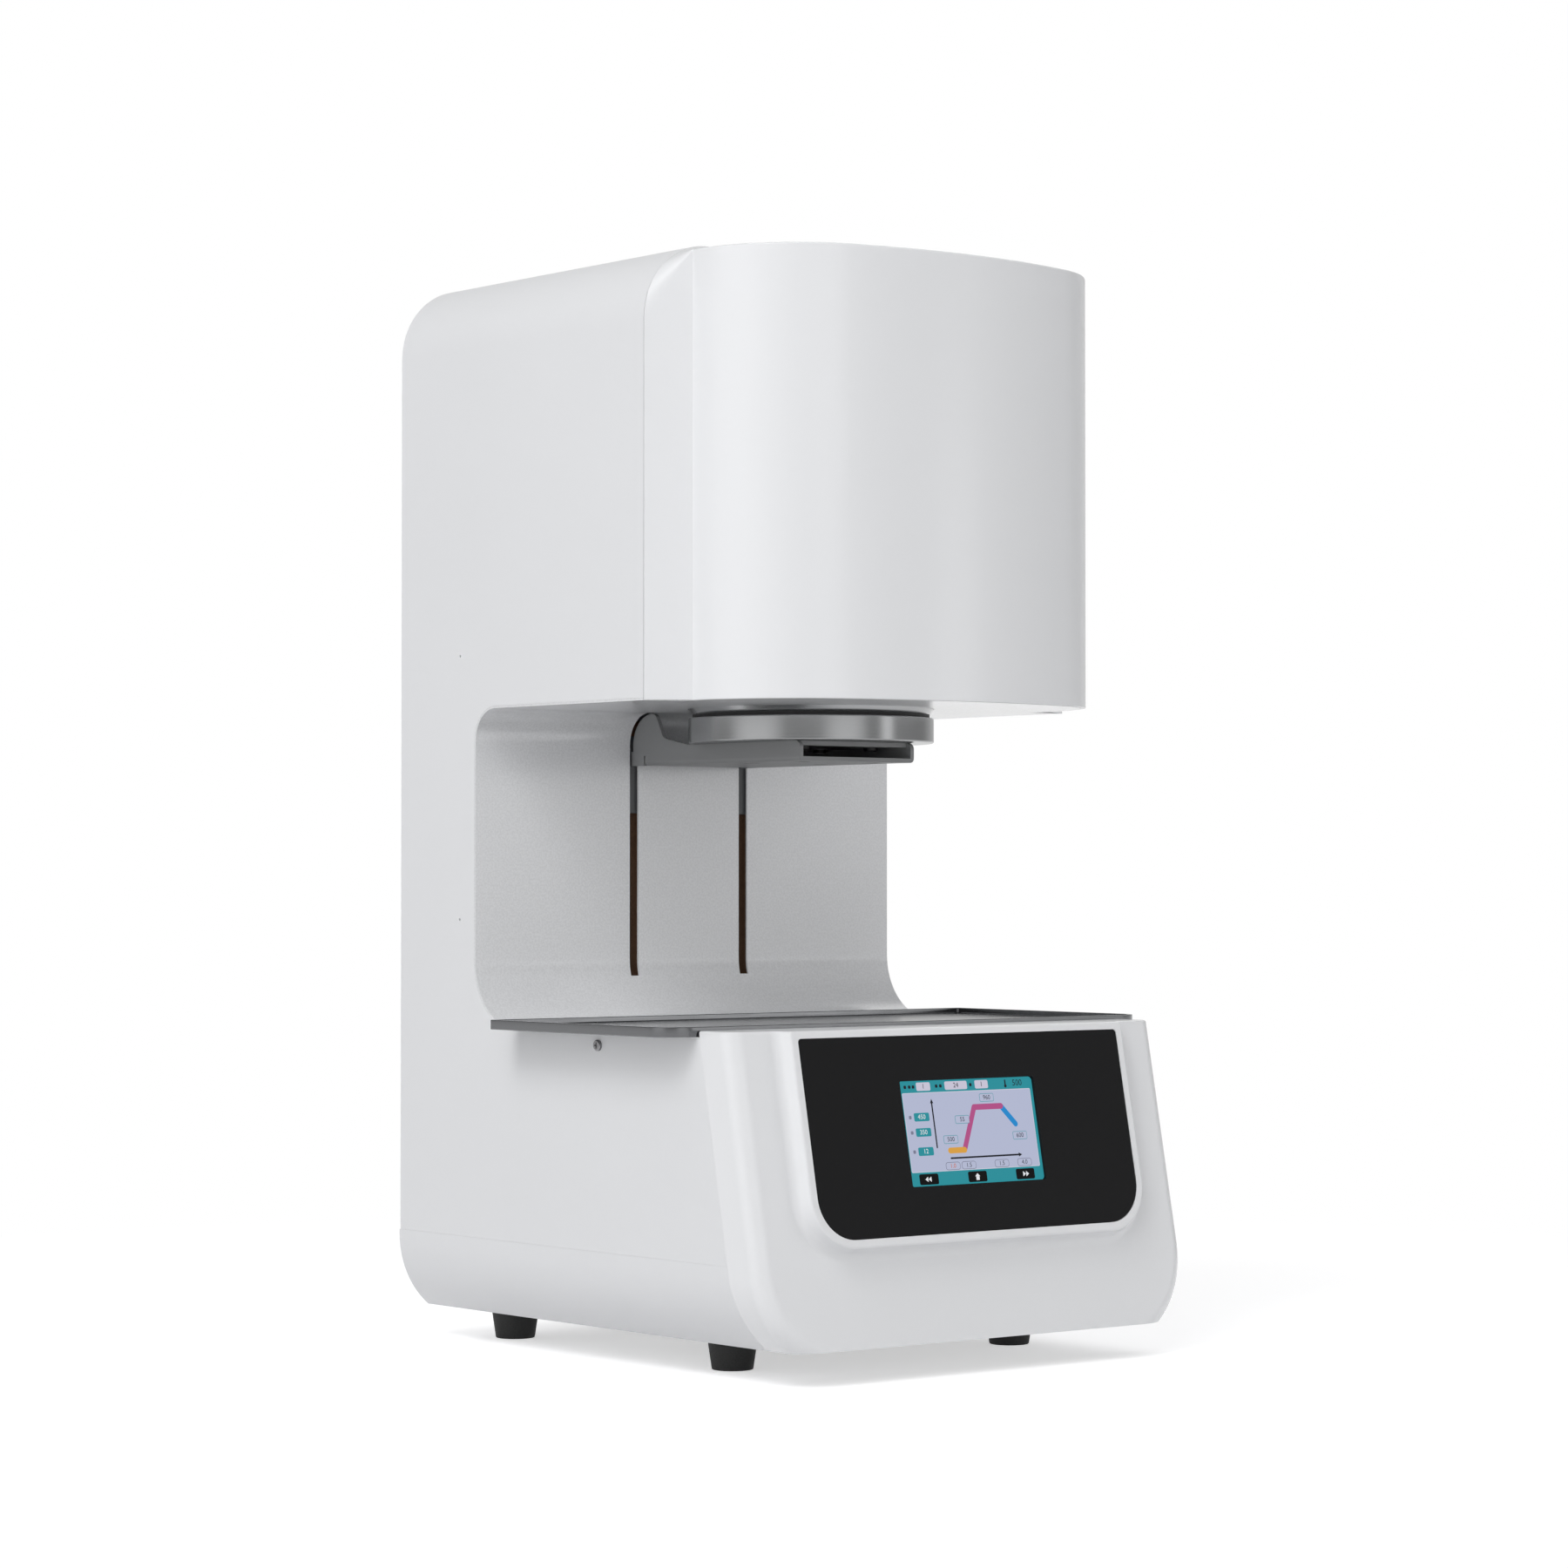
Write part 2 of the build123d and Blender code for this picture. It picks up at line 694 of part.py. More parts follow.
def rubber_feet():
    feet = []
    for x in (-foot_x, foot_x):
        for d in foot_ds:
            foot = post(x, d, 0, foot_h, foot_low_r, foot_top_r)
            foot = fillet(foot.edges().group_by(Axis.Z)[0], 0.8)
            foot -= post(x, d, -1, foot_h - foot_web, foot_socket_r)
            foot -= post(x, d, 0, foot_h + 1, foot_hole_r)
            feet.append(foot)
    return feet


def foot_screws():
    down = Rot(180, 0, 0)
    return [screw(x, d, foot_h - foot_web, 2.0, 13.0, 3.8, 2.4, down)
            for x in (-foot_x, foot_x) for d in foot_ds]


def side_screws():
    right = screw(half, side_screw_d, side_screw_z, 1.4, 7.0, 3.0, 1.6, Rot(0, 90, 0))
    return each_side(right)


def rear_screws():
    out = Rot(-90, 0, 0)
    return [screw(x, 0, z, 1.45, 8.0, 3.0, 1.6, out) for x, z in rear_screw_places + fan_screw_places]


# ---- firing chamber ----
def head_shelf():
    rear = column_depth - liner_t
    body = plan_section([(-frame_half, rear), (frame_half, rear), (frame_half, shelf_front),
                         (-frame_half, shelf_front)], [2] * 4, shelf_z, shelf_top)
    body += post(0, axis_d, shelf_z, shelf_top, brick_r + can_wall + 12)
    return body - post(0, axis_d, 300, 400, mouth_r + 8 + gap)


def chamber_flange():
    """Ring that frames the chamber's mouth and stands a little below the head."""
    lip = post(0, axis_d, ring_low, head_z, table_r - 2.2, table_r)
    seat = post(0, axis_d, head_z, shelf_z, table_r - gap)
    neck = post(0, axis_d, shelf_z, shelf_top, mouth_r + 8)
    return lip + seat + neck - post(0, axis_d, 300, 400, mouth_r)


def chamber_can():
    top = can_top()
    outer = brick_r + round_gap + can_wall
    body = post(0, axis_d, shelf_top, top, outer) - post(0, axis_d, shelf_top - 1, top - can_wall,
                                                         brick_r + round_gap)
    body += tube(0, axis_d, shelf_top, shelf_top + 2, outer + 9, outer - 0.5)
    body -= bar(vacuum_x, vacuum_z, 60, axis_d, tube_r + gap)
    for x in terminal_xs + [0]:
        body -= post(x, axis_d, top - 5, top + 5, cap_hole_r)
    return body


def can_top():
    return shelf_top + brick_count * brick_h + cap_h + round_gap + can_wall


def insulation():
    rings = []
    for i in range(brick_count):
        z0 = shelf_top + i * brick_h
        ring = tube(0, axis_d, z0, z0 + brick_h, brick_r, brick_bore)
        rings.append(ring - bar(vacuum_x, vacuum_z, 60, axis_d, tube_r + gap))
    z0 = shelf_top + brick_count * brick_h
    cap = post(0, axis_d, z0, z0 + cap_h, brick_r)
    for x in terminal_xs + [0]:
        cap -= post(x, axis_d, z0 - 1, z0 + cap_h + 1, cap_hole_r)
    return rings + [cap]


def quartz_muffle():
    z1 = shelf_top + muffle_h
    body = tube(0, axis_d, shelf_top, z1, muffle_r + muffle_wall, muffle_r)
    return body


def heating_coil():
    turns = []
    for i in range(coil_turns):
        z = shelf_top + 12 + i * coil_pitch
        turns.append(Pos(0, fwd(axis_d), z) * Torus(coil_r, wire_r))
    low = shelf_top + brick_count * brick_h - 1
    leads = [post(x, axis_d, low, can_top() + 14, lead_r) for x in terminal_xs]
    return turns + leads


def heater_terminals():
    top = can_top()
    blocks = []
    for x in terminal_xs:
        block = slab(x - 8, x + 8, axis_d - 10, axis_d + 10, top, top + 10)
        blocks.append(block - post(x, axis_d, top - 1, top + 11, lead_r + gap))
    return blocks


def thermocouple():
    top = can_top()
    sheath = post(0, axis_d, shelf_top + 100, top, 2.5)
    head = post(0, axis_d, top, top + 14, 9)
    return sheath + head


def vacuum_tube():
    can_d = axis_d - sqrt(brick_r ** 2 - vacuum_x ** 2)
    first = bar(vacuum_x, vacuum_z, stub_inner, valve_d0, tube_r)
    second = bar(vacuum_x, vacuum_z, valve_d1, can_d + 12, tube_r)
    return [first, second]


def vacuum_valve():
    body = slab(vacuum_x - 14, vacuum_x + 14, valve_d0, valve_d1, vacuum_z - 12, vacuum_z + 12)
    coil = slab(vacuum_x - 12, vacuum_x + 12, valve_d0 + 4, valve_d1 - 4, vacuum_z + 12, vacuum_z + 42)
    return body + coil


def vacuum_stub():
    tip = bar(vacuum_x, vacuum_z, -stub_reach, -3.0, stub_r)
    tip = chamfer(tip.edges().sort_by(Axis.Y)[-1], 0.8)
    collar = bar(vacuum_x, vacuum_z, -3.0, 0, 8.0)
    neck = bar(vacuum_x, vacuum_z, 0, stub_inner, stub_neck_r)
    body = tip + collar + neck
    return body - bar(vacuum_x, vacuum_z, -stub_reach - 1, stub_inner + 1, 2.4)


def stub_nut():
    nut = RegularPolygon(9, 6)
    place = Plane(origin=(vacuum_x, fwd(panel_t), vacuum_z), x_dir=(1, 0, 0), z_dir=(0, -1, 0))
    body = extrude(place * nut, amount=5)
    return body - bar(vacuum_x, vacuum_z, 0, 20, stub_neck_r + 0.05)


# ---- lift ----
def bracket_cheek():
    """Side of the lift arm: a rear tab, a rounded root that follows the liner and a long low arm."""
    rear = column_depth - liner_t - 0.8
    root = column_depth + fan_edge_gap
    crown_z = head_z - fan_edge_gap
    heel_z = head_z - high_bend - 3.5
    points = [(toe_d, table_z), (bracket_front, table_z), (bracket_front, web_z), (rear, web_z),
              (rear, tab_low), (plate_front, tab_low), (plate_front, tab_high), (rear, tab_high),
              (rear, heel_z), (root, heel_z), (root, crown_z), (crown_d, crown_z), (notch_d, notch_z)]
    radii = [0, arm_front_r, arm_front_r, 0, 0, 0, 0, 0, 0, 0, high_bend - fan_edge_gap, crown_r, notch_r]
    outer = slot_x + cheek_t / 2
    return side_section(points, radii, outer - cheek_t, outer)


def lift_bracket():
    cheeks = each_side(bracket_cheek())
    outer = slot_x + cheek_t / 2
    web = slab(-outer, outer, web_rear, bracket_front, web_z, web_z + web_t)
    plate = slab(-outer, outer, plate_back, plate_front, tab_low, tab_high)
    plate -= bar(0, (tab_low + tab_high) / 2, plate_back - 1, plate_front + 1, 8)
    saddle = slab(-outer, outer, saddle_d0, bracket_front - arm_front_r, table_z - saddle_t, table_z)
    body = cheeks[0] + cheeks[1] + web + plate + saddle
    rear = column_depth - liner_t - 0.8
    for shutter in each_side(slab(slot_x - shutter_in, slot_x + shutter_out, rear - shutter_t, rear,
                                  tab_low, web_z + web_t)):
        body += shutter
    for sx in (-1, 1):
        bend_x = outer - arm_bend_r
        corner = slab(bend_x, outer + 1, web_rear, bracket_front + 1, web_z - 1, web_z + arm_bend_r)
        corner -= bar(bend_x, web_z + arm_bend_r, web_rear - 1, bracket_front + 2, arm_bend_r)
        relief = slab(outer - 3 * cheek_t, outer + 1, web_rear - relief_w, web_rear, web_z - 1, web_z + relief_h)
        cut = corner + relief
        body -= cut if sx > 0 else mirror(cut, about=Plane.YZ)
    for x, z in bracket_screw_places:
        body -= bar(x, z, plate_back - 1, plate_front + 1, 2.2)
    for x, d in table_screw_places:
        body -= post(x, d, table_z - 5, table_z + 1, 2.2)
        body -= post(x, d, web_z - 1, web_z + web_t + 1, 4.5)
    return body


def bracket_screws():
    """Screws of the arm's rear plate and of the table above it."""
    ahead = Rot(90, 0, 0)
    up = Rot(180, 0, 0)
    screws = [screw(x, plate_front, z, 2.0, 9.0, 3.8, 2.2, ahead) for x, z in bracket_screw_places]
    return screws + [screw(x, d, table_z - saddle_t, 2.0, 9.0, 3.8, 2.2, up) for x, d in table_screw_places]


def slot_seals():
    """Dust strips behind the slots: a pair of lips for each slot, carried on the liner."""
    z0 = slot_low - 6
    z1 = head_z - 4
    lip_d1 = seal_lip_d + seal_lip_t
    back = column_depth - liner_t
    outer = slab(slot_x + seal_slit, slot_x + 11, seal_lip_d, lip_d1, z0, z1)
    outer += slab(slot_x + 7.5, slot_x + 11, lip_d1, back, z0, z1)
    inner = slab(slot_x - 10, slot_x - seal_slit, seal_lip_d, lip_d1, z0, z1)
    inner += slab(slot_x - 10, slot_x - 6.7, lip_d1, back, z0, z1)
    return each_side(outer) + each_side(inner)


def lift_table():
    body = post(0, axis_d, table_z, table_top, table_r)
    rims = body.edges().group_by(Axis.Z)
    body = fillet([rims[0][0], rims[-1][0]], 0.8)
    body -= tube(0, axis_d, table_top - 0.6, table_top + 5, seal_r, seal_r - seal_w)
    for x, d in table_screw_places:
        body -= post(x, d, table_z - 1, table_z + 8, 2.3)
    return body


def table_seal():
    return tube(0, axis_d, table_top - 0.6, ring_low - 0.1, seal_r - 0.05, seal_r - seal_w + 0.05)


def firing_pedestal():
    z1 = table_top + pedestal_h
    body = post(0, axis_d, table_top, z1, pedestal_r)
    return chamfer(body.edges().group_by(Axis.Z)[-1], 1.0)


def firing_tray():
    """Round peg tray with hexagonally set holes."""
    z0 = table_top + pedestal_h
    body = post(0, axis_d, z0, z0 + peg_tray_t, tray_r)
    for row in range(-3, 4):
        for col in range(-3, 4):
            x = col * peg_step + (row % 2) * peg_step / 2
            y = row * peg_step * sqrt(3) / 2
            if hypot(x, y) < tray_r - 4:
                body -= post(x, axis_d + y, z0 + 2, z0 + peg_tray_t + 1, peg_r)
    return body


def lift_carriage():
    z1 = carriage_low + carriage_h
    body = slab(-carriage_w / 2, carriage_w / 2, carriage_d - carriage_t / 2, carriage_d + carriage_t / 2,
                carriage_low, z1)
    for x in (-rod_x, rod_x):
        body -= post(x, carriage_d, carriage_low - 1, z1 + 1, bush_r + 0.1)
    body -= post(0, carriage_d, carriage_low - 1, z1 + 1, nut_r + 0.1)
    for x, z in bracket_screw_places:
        body -= bar(x, z, carriage_d + 4, carriage_d + 20, 2.0)
    return body


def linear_bushings():
    bushes = []
    for x in (-rod_x, rod_x):
        sleeve = post(x, carriage_d, carriage_low, carriage_low + bush_len, bush_r)
        collar = post(x, carriage_d, carriage_low - bush_flange_t, carriage_low, bush_flange_r)
        bushes.append(sleeve + collar - post(x, carriage_d, 200, 400, rod_r + run))
    return bushes


def lift_nut():
    z1 = carriage_low + carriage_h
    body = post(0, carriage_d, z1 - 20, z1, nut_r) + post(0, carriage_d, z1, z1 + nut_flange_t, nut_flange_r)
    return body - post(0, carriage_d, 200, 400, screw_r + run)


def guide_rods():
    low = lower_plate_z
    return [post(x, carriage_d, low, upper_plate_z + upper_plate_t, rod_r) for x in (-rod_x, rod_x)]


def lift_plate(z0, z1):
    body = plan_section(rect(-frame_half, frame_half, lift_plate_d0, lift_plate_d1), [3] * 4, z0, z1)
    for x in (-rod_x, rod_x):
        body -= post(x, carriage_d, z0 - 1, z1 + 1, rod_r + 0.1)
    return body


def lower_plate():
    z1 = lower_plate_z + lower_plate_t
    body = lift_plate(lower_plate_z, z1) - post(0, carriage_d, 100, 140, 11.3)
    for x, d in motor_screw_places:
        body -= post(x, d, 100, 140, 1.7)
    return body


def upper_plate():
    body = lift_plate(upper_plate_z, upper_plate_z + upper_plate_t)
    body -= post(0, carriage_d, upper_plate_z - 1, upper_plate_z + bearing_t, bearing_r + 0.1)
    return body - post(0, carriage_d, upper_plate_z - 1, upper_plate_z + 20, screw_r + 2)


def screw_bearing():
    return tube(0, carriage_d, upper_plate_z, upper_plate_z + bearing_t, bearing_r, screw_r + run)


def stepper_motor():
    w = motor_w / 2
    body = slab(-w, w, carriage_d - w, carriage_d + w, lower_plate_z - motor_h, lower_plate_z)
    body = chamfer(body.edges().filter_by(Axis.Z), 3.5)
    body += post(0, carriage_d, lower_plate_z, lower_plate_z + 2, 11.0)
    body -= post(0, carriage_d, lower_plate_z - motor_h + 6, lower_plate_z + 5, shaft_r + run)
    for x, d in motor_screw_places:
        body -= post(x, d, lower_plate_z - 5, lower_plate_z + 5, 1.5)
    return body


def motor_screws():
    z = lower_plate_z + lower_plate_t
    return [screw(x, d, z, 1.45, 8.0, 2.75, 2.0, Rot(0, 0, 0)) for x, d in motor_screw_places]


def motor_shaft():
    return post(0, carriage_d, lower_plate_z - motor_h + 7, coupling_z + 12, shaft_r)


def shaft_coupling():
    body = post(0, carriage_d, coupling_z, coupling_z + coupling_h, coupling_r)
    body -= post(0, carriage_d, coupling_z - 1, coupling_z + 12.5, shaft_r)
    return body - post(0, carriage_d, coupling_z + 12.5, coupling_z + coupling_h + 1, screw_r)


def lead_screw():
    return post(0, carriage_d, coupling_z + 13, upper_plate_z + bearing_t, screw_r)


def limit_sensors():
    """Two sensors on arms from the right upright, which read the ends of the carriage's travel."""
    lip = column_depth - liner_t - 2.3
    front = carriage_d + carriage_t / 2
    sensors = []
    for z in (carriage_low + carriage_h - 10, carriage_low - travel - 2):
        arm = slab(carriage_w / 2 - 12, half - 12, lip - 2, lip, z, z + 12)
        sensors.append(arm + slab(carriage_w / 2 - 12, carriage_w / 2 + 2, front + 3, lip, z, z + 12))
    return sensors


# ---- rear fittings ----
def fan_frame():
    w = fan_size / 2
    body = slab(-w, w, panel_t, panel_t + fan_depth, fan_z - w, fan_z + w)
    body = fillet(body.edges().filter_by(Axis.Y), 4)
    body -= bar(0, fan_z, 0, 40, fan_bore)
    for x, z in fan_screw_places:
        body -= bar(x, z, 0, 40, 1.5)
    end = panel_t + fan_depth
    body += bar(0, fan_z, end - 3, end, fan_hub_r)
    for angle in (0, 90, 180, 270):
        arm = Pos(0, fwd(end - 1.5), fan_z) * Rot(0, angle, 0) * Pos(26, 0, 0) * Box(26, 3, 4)
        body += arm
    return body - bar(0, fan_z, end - 5, end + 1, fan_axle_r + run)


def fan_rotor():
    end = panel_t + fan_depth
    hub = bar(0, fan_z, 5, end - 4, fan_hub_r)
    rotor = hub + bar(0, fan_z, end - 5, end - 0.5, fan_axle_r)
    for i in range(blade_count):
        blade = Pos(25.5, 0, 0) * Rot(32, 0, 0) * Box(21.5, 15, 1.4)
        rotor += Pos(0, fwd((5 + end - 4) / 2), fan_z) * Rot(0, i * 360 / blade_count, 0) * blade
    return rotor


def fan_guard():
    """Wire finger guard on the outside of the rear panel."""
    plane_y = fwd(-guard_wire - 0.05)
    body = None
    for r in guard_rings:
        ring = Pos(0, plane_y, fan_z) * Rot(90, 0, 0) * Torus(r, guard_wire)
        body = ring if body is None else body + ring
    for angle in (45, 135):
        spoke = Rot(0, angle, 0) * Box(fan_pitch * sqrt(2) - 7, 1.6, 1.6)
        body += Pos(0, plane_y, fan_z) * spoke
    for x, z in fan_screw_places:
        body += Pos(x, plane_y, z) * Rot(90, 0, 0) * Torus(4.2, guard_wire)
    return body


def socket_shell(x, recess_depth):
    w, h = socket_body_w / 2 - gap, socket_body_h / 2 - gap
    body = slab(x - w, x + w, -2.0, socket_depth, socket_z - h, socket_z + h)
    flange = slab(x - 25, x + 25, -2.5, 0, socket_z - 15, socket_z + 15)
    body += fillet(flange.edges().filter_by(Axis.Y), 3)
    points = [(x - 12, socket_z - 8), (x + 12, socket_z - 8), (x + 12, socket_z + 3),
              (x + 7, socket_z + 8), (x - 7, socket_z + 8), (x - 12, socket_z + 3)]
    return body - front_section(points, [2, 2, 1, 1, 1, 1], -5, recess_depth)


def mains_inlet():
    body = socket_shell(inlet_x, 16)
    for dx, dz in blade_places:
        body += slab(inlet_x + dx - 1, inlet_x + dx + 1, 0, 18, socket_z + dz - 2, socket_z + dz + 2)
    return body


def pump_socket():
    x = pump_x
    body = socket_shell(x, 2)
    for dx, dz in blade_places:
        body -= slab(x + dx - 1.3, x + dx + 1.3, -5, 16, socket_z + dz - 2.4, socket_z + dz + 2.4)
    return body


def switch_frame():
    w, h = switch_w / 2, switch_h / 2
    body = slab(inlet_x - w - 1.5, inlet_x + w + 1.5, -1.5, 0, switch_z - h - 1.5, switch_z + h + 1.5)
    body += slab(inlet_x - w + gap, inlet_x + w - gap, 0, 14, switch_z - h + gap, switch_z + h - gap)
    return body - slab(inlet_x - w + 1.5, inlet_x + w - 1.5, -5, 8, switch_z - h + 1.5, switch_z + h - 1.5)


def switch_rocker():
    """Two-position rocker, with its off side pressed in."""
    w = switch_w / 2 - 1.5 - 0.3
    h = switch_h / 2 - 1.5 - 0.5
    lean = rocker_throw / 2
    points = [(5.0, -h + 1.5), (-1.0, -h), (0.6, 0), (-1.0, h), (5.0, h - 1.5)]
    plane = Plane(origin=(w, 0, 0), x_dir=(0, -1, 0), z_dir=(-1, 0, 0))
    rocker = extrude(plane * make_face(Polyline(*points, close=True)), amount=2 * w)
    return Pos(inlet_x, fwd(rocker_d), switch_z) * Rot(lean, 0, 0) * Pos(0, rocker_d, 0) * rocker


# ---- electronics in the base ----
def power_supply():
    body = slab(-105, 0, 134, 230, pan_floor, pan_floor + supply_h)
    for i in range(8):
        d = 144 + i * 10
        body -= slab(-98, -7, d, d + 3, pan_floor + supply_h - 1.5, pan_floor + supply_h + 1)
    return body


def control_board():
    """Board with a row of plugs, a processor, a relay and three capacitors."""
    z0 = pan_floor + board_raise
    top = z0 + board_t
    body = slab(board_x0, board_x1, board_d0, board_d1, z0, top)
    for x, d in board_corners:
        body -= post(x, d, z0 - 1, z0 + 3, stand_bore)
    for i in range(5):
        x = board_x0 + 8 + i * 15
        body += slab(x, x + 12, board_d0 + 3, board_d0 + 12, top, top + 10.4)
    body += slab(45, 65, 170, 190, top, top + 2.4)
    body += slab(75, 95, 170, 200, top, top + 16.4)
    for i in range(3):
        body += post(28, 170 + i * 16, top, top + 20.4, 6)
    return body


def board_standoffs():
    return [tube(x, d, pan_floor, pan_floor + board_raise, 3.0, stand_bore) for x, d in board_corners]


def heat_sink():
    """Finned bar between a foot plate and the plate that carries the relay."""
    top = pan_floor + fin_top
    body = slab(sink_x0, sink_x1, sink_d0, sink_d1, pan_floor, pan_floor + sink_plate)
    for i in range(fin_count):
        x = sink_x0 + i * fin_pitch
        body += slab(x, x + 1.8, sink_d0, sink_d1, pan_floor, top)
    return body + slab(sink_x0, sink_x1, sink_d0, sink_d1, top, top + sink_plate)


def solid_state_relay():
    z0 = pan_floor + fin_top + sink_plate
    z1 = z0 + relay_h
    body = slab(sink_x0 + 10, sink_x1 - 10, sink_d0 + 3, sink_d1 - 3, z0, z1)
    for x in (-63, -32):
        for d in (86, 119):
            body += post(x, d, z1, z1 + 4, 4)
    return body


nodes = {
    "bottom_pan": bottom_pan, "outer_wrap": outer_wrap, "rear_panel": rear_panel,
    "column_liner": column_liner, "head_cover": head_cover,
    "frame_upright_left": lambda: frame_upright(-1), "frame_upright_right": lambda: frame_upright(1),
    "front_bezel": front_bezel, "control_fascia": control_fascia, "touch_glass": touch_glass,
    "display_module": display_module, "display_board": display_board,
    "cooling_tray": cooling_tray, "rubber_feet": rubber_feet,
    "foot_screws": foot_screws, "case_screws": lambda: side_screws() + rear_screws(),
    "slot_seals": slot_seals, "head_shelf": head_shelf, "chamber_flange": chamber_flange,
    "chamber_can": chamber_can, "insulation": insulation, "quartz_muffle": quartz_muffle,
    "heating_coil": heating_coil, "heater_terminals": heater_terminals,
    "thermocouple": thermocouple, "vacuum_tube": vacuum_tube, "vacuum_valve": vacuum_valve,
    "vacuum_stub": vacuum_stub, "stub_nut": stub_nut, "lift_bracket": lift_bracket,
    "bracket_screws": bracket_screws, "lift_table": lift_table,
    "table_seal": table_seal, "firing_pedestal": firing_pedestal,
    "firing_tray": firing_tray, "lift_carriage": lift_carriage, "linear_bushings": linear_bushings,
    "lift_nut": lift_nut, "guide_rods": guide_rods, "lower_plate": lower_plate,
    "upper_plate": upper_plate, "screw_bearing": screw_bearing, "stepper_motor": stepper_motor,
    "motor_screws": motor_screws, "motor_shaft": motor_shaft, "shaft_coupling": shaft_coupling,
    "lead_screw": lead_screw, "limit_sensors": limit_sensors,
    "fan_frame": fan_frame, "fan_rotor": fan_rotor, "fan_guard": fan_guard,
    "mains_inlet": mains_inlet, "pump_socket": pump_socket, "switch_frame": switch_frame,
    "switch_rocker": switch_rocker, "power_supply": power_supply, "control_board": control_board,
    "board_standoffs": board_standoffs, "heat_sink": heat_sink, "solid_state_relay": solid_state_relay,
}

for name, make in nodes.items():
    made = make()
    pieces = made if isinstance(made, list) else [made]
    solids = [solid for piece in pieces for solid in piece.solids()]
    export_step(Compound(children=solids), f"parts/{name}.step")
    print(name, len(solids))
print("nodes", len(nodes))
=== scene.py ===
import bpy
import bmesh
import json
from math import atan2, cos, radians, sin
from mathutils import Matrix, Vector


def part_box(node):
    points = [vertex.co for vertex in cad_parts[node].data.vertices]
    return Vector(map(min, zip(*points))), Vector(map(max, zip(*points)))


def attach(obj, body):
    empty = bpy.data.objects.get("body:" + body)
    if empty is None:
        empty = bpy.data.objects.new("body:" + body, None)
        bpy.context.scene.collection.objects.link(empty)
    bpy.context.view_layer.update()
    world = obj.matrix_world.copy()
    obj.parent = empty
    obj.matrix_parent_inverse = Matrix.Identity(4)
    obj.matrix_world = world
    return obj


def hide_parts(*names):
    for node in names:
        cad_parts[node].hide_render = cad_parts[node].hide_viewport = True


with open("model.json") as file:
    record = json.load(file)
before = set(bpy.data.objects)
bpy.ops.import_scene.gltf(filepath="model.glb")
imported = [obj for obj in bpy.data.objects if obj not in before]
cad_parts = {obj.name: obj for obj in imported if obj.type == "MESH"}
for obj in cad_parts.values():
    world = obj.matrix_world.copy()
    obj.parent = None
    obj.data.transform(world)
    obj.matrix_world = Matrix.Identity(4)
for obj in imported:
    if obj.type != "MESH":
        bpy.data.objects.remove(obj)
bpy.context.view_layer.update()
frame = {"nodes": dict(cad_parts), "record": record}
nodes = frame["nodes"]
mm = 0.001
scene = bpy.context.scene
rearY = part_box("rear_panel")[1].y  # outer face of the rear panel
print("stage: frame loaded,", len(nodes), "nodes")


class Field:  # one shader socket that can be used in sums and products
    def __init__(self, tree, socket):
        self.tree = tree
        self.socket = socket

    def op(self, operation, other=0.0):
        return node(self.tree, "ShaderNodeMath", {"operation": operation}, [self, other])

    def __add__(self, other):
        return self.op("ADD", other)

    def __radd__(self, other):
        return self.op("ADD", other)

    def __sub__(self, other):
        return self.op("SUBTRACT", other)

    def __rsub__(self, other):
        return node(self.tree, "ShaderNodeMath", {"operation": "SUBTRACT"}, [other, self])

    def __mul__(self, other):
        return self.op("MULTIPLY", other)

    def __rmul__(self, other):
        return self.op("MULTIPLY", other)

    def __truediv__(self, other):
        return self.op("DIVIDE", other)


def node(tree, kind, settings=None, inputs=(), output=0):
    made = tree.nodes.new(kind)
    for name, value in (settings or {}).items():
        if name == "stops":
            ramp = made.color_ramp
            while len(ramp.elements) < len(value):
                ramp.elements.new(0.5)
            for element, (place, colour) in zip(ramp.elements, value):
                element.position = place
                element.color = (*colour, 1)
        else:
            setattr(made, name, value)
    pairs = inputs.items() if isinstance(inputs, dict) else enumerate(inputs)
    for key, value in pairs:
        if isinstance(value, Field):
            tree.links.new(value.socket, made.inputs[key])
        else:
            made.inputs[key].default_value = value
    return Field(tree, made.outputs[output])


def newMaterial(name, **sockets):
    mat = bpy.data.materials.new(name)
    mat.use_nodes = True
    shader = mat.node_tree.nodes["Principled BSDF"]
    for key, value in sockets.items():
        shader.inputs[socketName(key)].default_value = value
    return mat, mat.node_tree, shader


def socketName(key):  # baseColor becomes Base Color
    spaced = "".join(" " + c if c.isupper() else c for c in key)
    return (spaced[0].upper() + spaced[1:]).replace("Ior", "IOR")


def feed(tree, shader, **links):
    for key, value in links.items():
        tree.links.new(value.socket, shader.inputs[socketName(key)])


def objectPlace(tree):
    return node(tree, "ShaderNodeTexCoord", output=3)


def stretched(tree, place, scale):
    return node(tree, "ShaderNodeMapping", inputs={"Vector": place, "Scale": scale})


def noise(tree, place, scale, detail=2.0, roughness=0.5):
    return node(tree, "ShaderNodeTexNoise", inputs={"Vector": place, "Scale": scale, "Detail": detail,
                                                    "Roughness": roughness})


def blendColour(tree, mask, low, high):
    return node(tree, "ShaderNodeMix", {"data_type": "RGBA"}, {0: mask, 6: low, 7: high}, output=2)


def remap(tree, value, low, high, toLow, toHigh):
    return node(tree, "ShaderNodeMapRange", inputs=[value, low, high, toLow, toHigh])


def bump(tree, height, strength, distance):
    return node(tree, "ShaderNodeBump", inputs={"Strength": strength, "Distance": distance, "Height": height})


def rgb(red, green, blue):  # a colour as it shows on the screen, made linear
    def linear(c):
        c /= 255
        return c / 12.92 if c < 0.04045 else ((c + 0.055) / 1.055) ** 2.4
    return linear(red), linear(green), linear(blue), 1.0


def scaled(colour, k):
    return tuple(c * k for c in colour[:3]) + (1.0,)


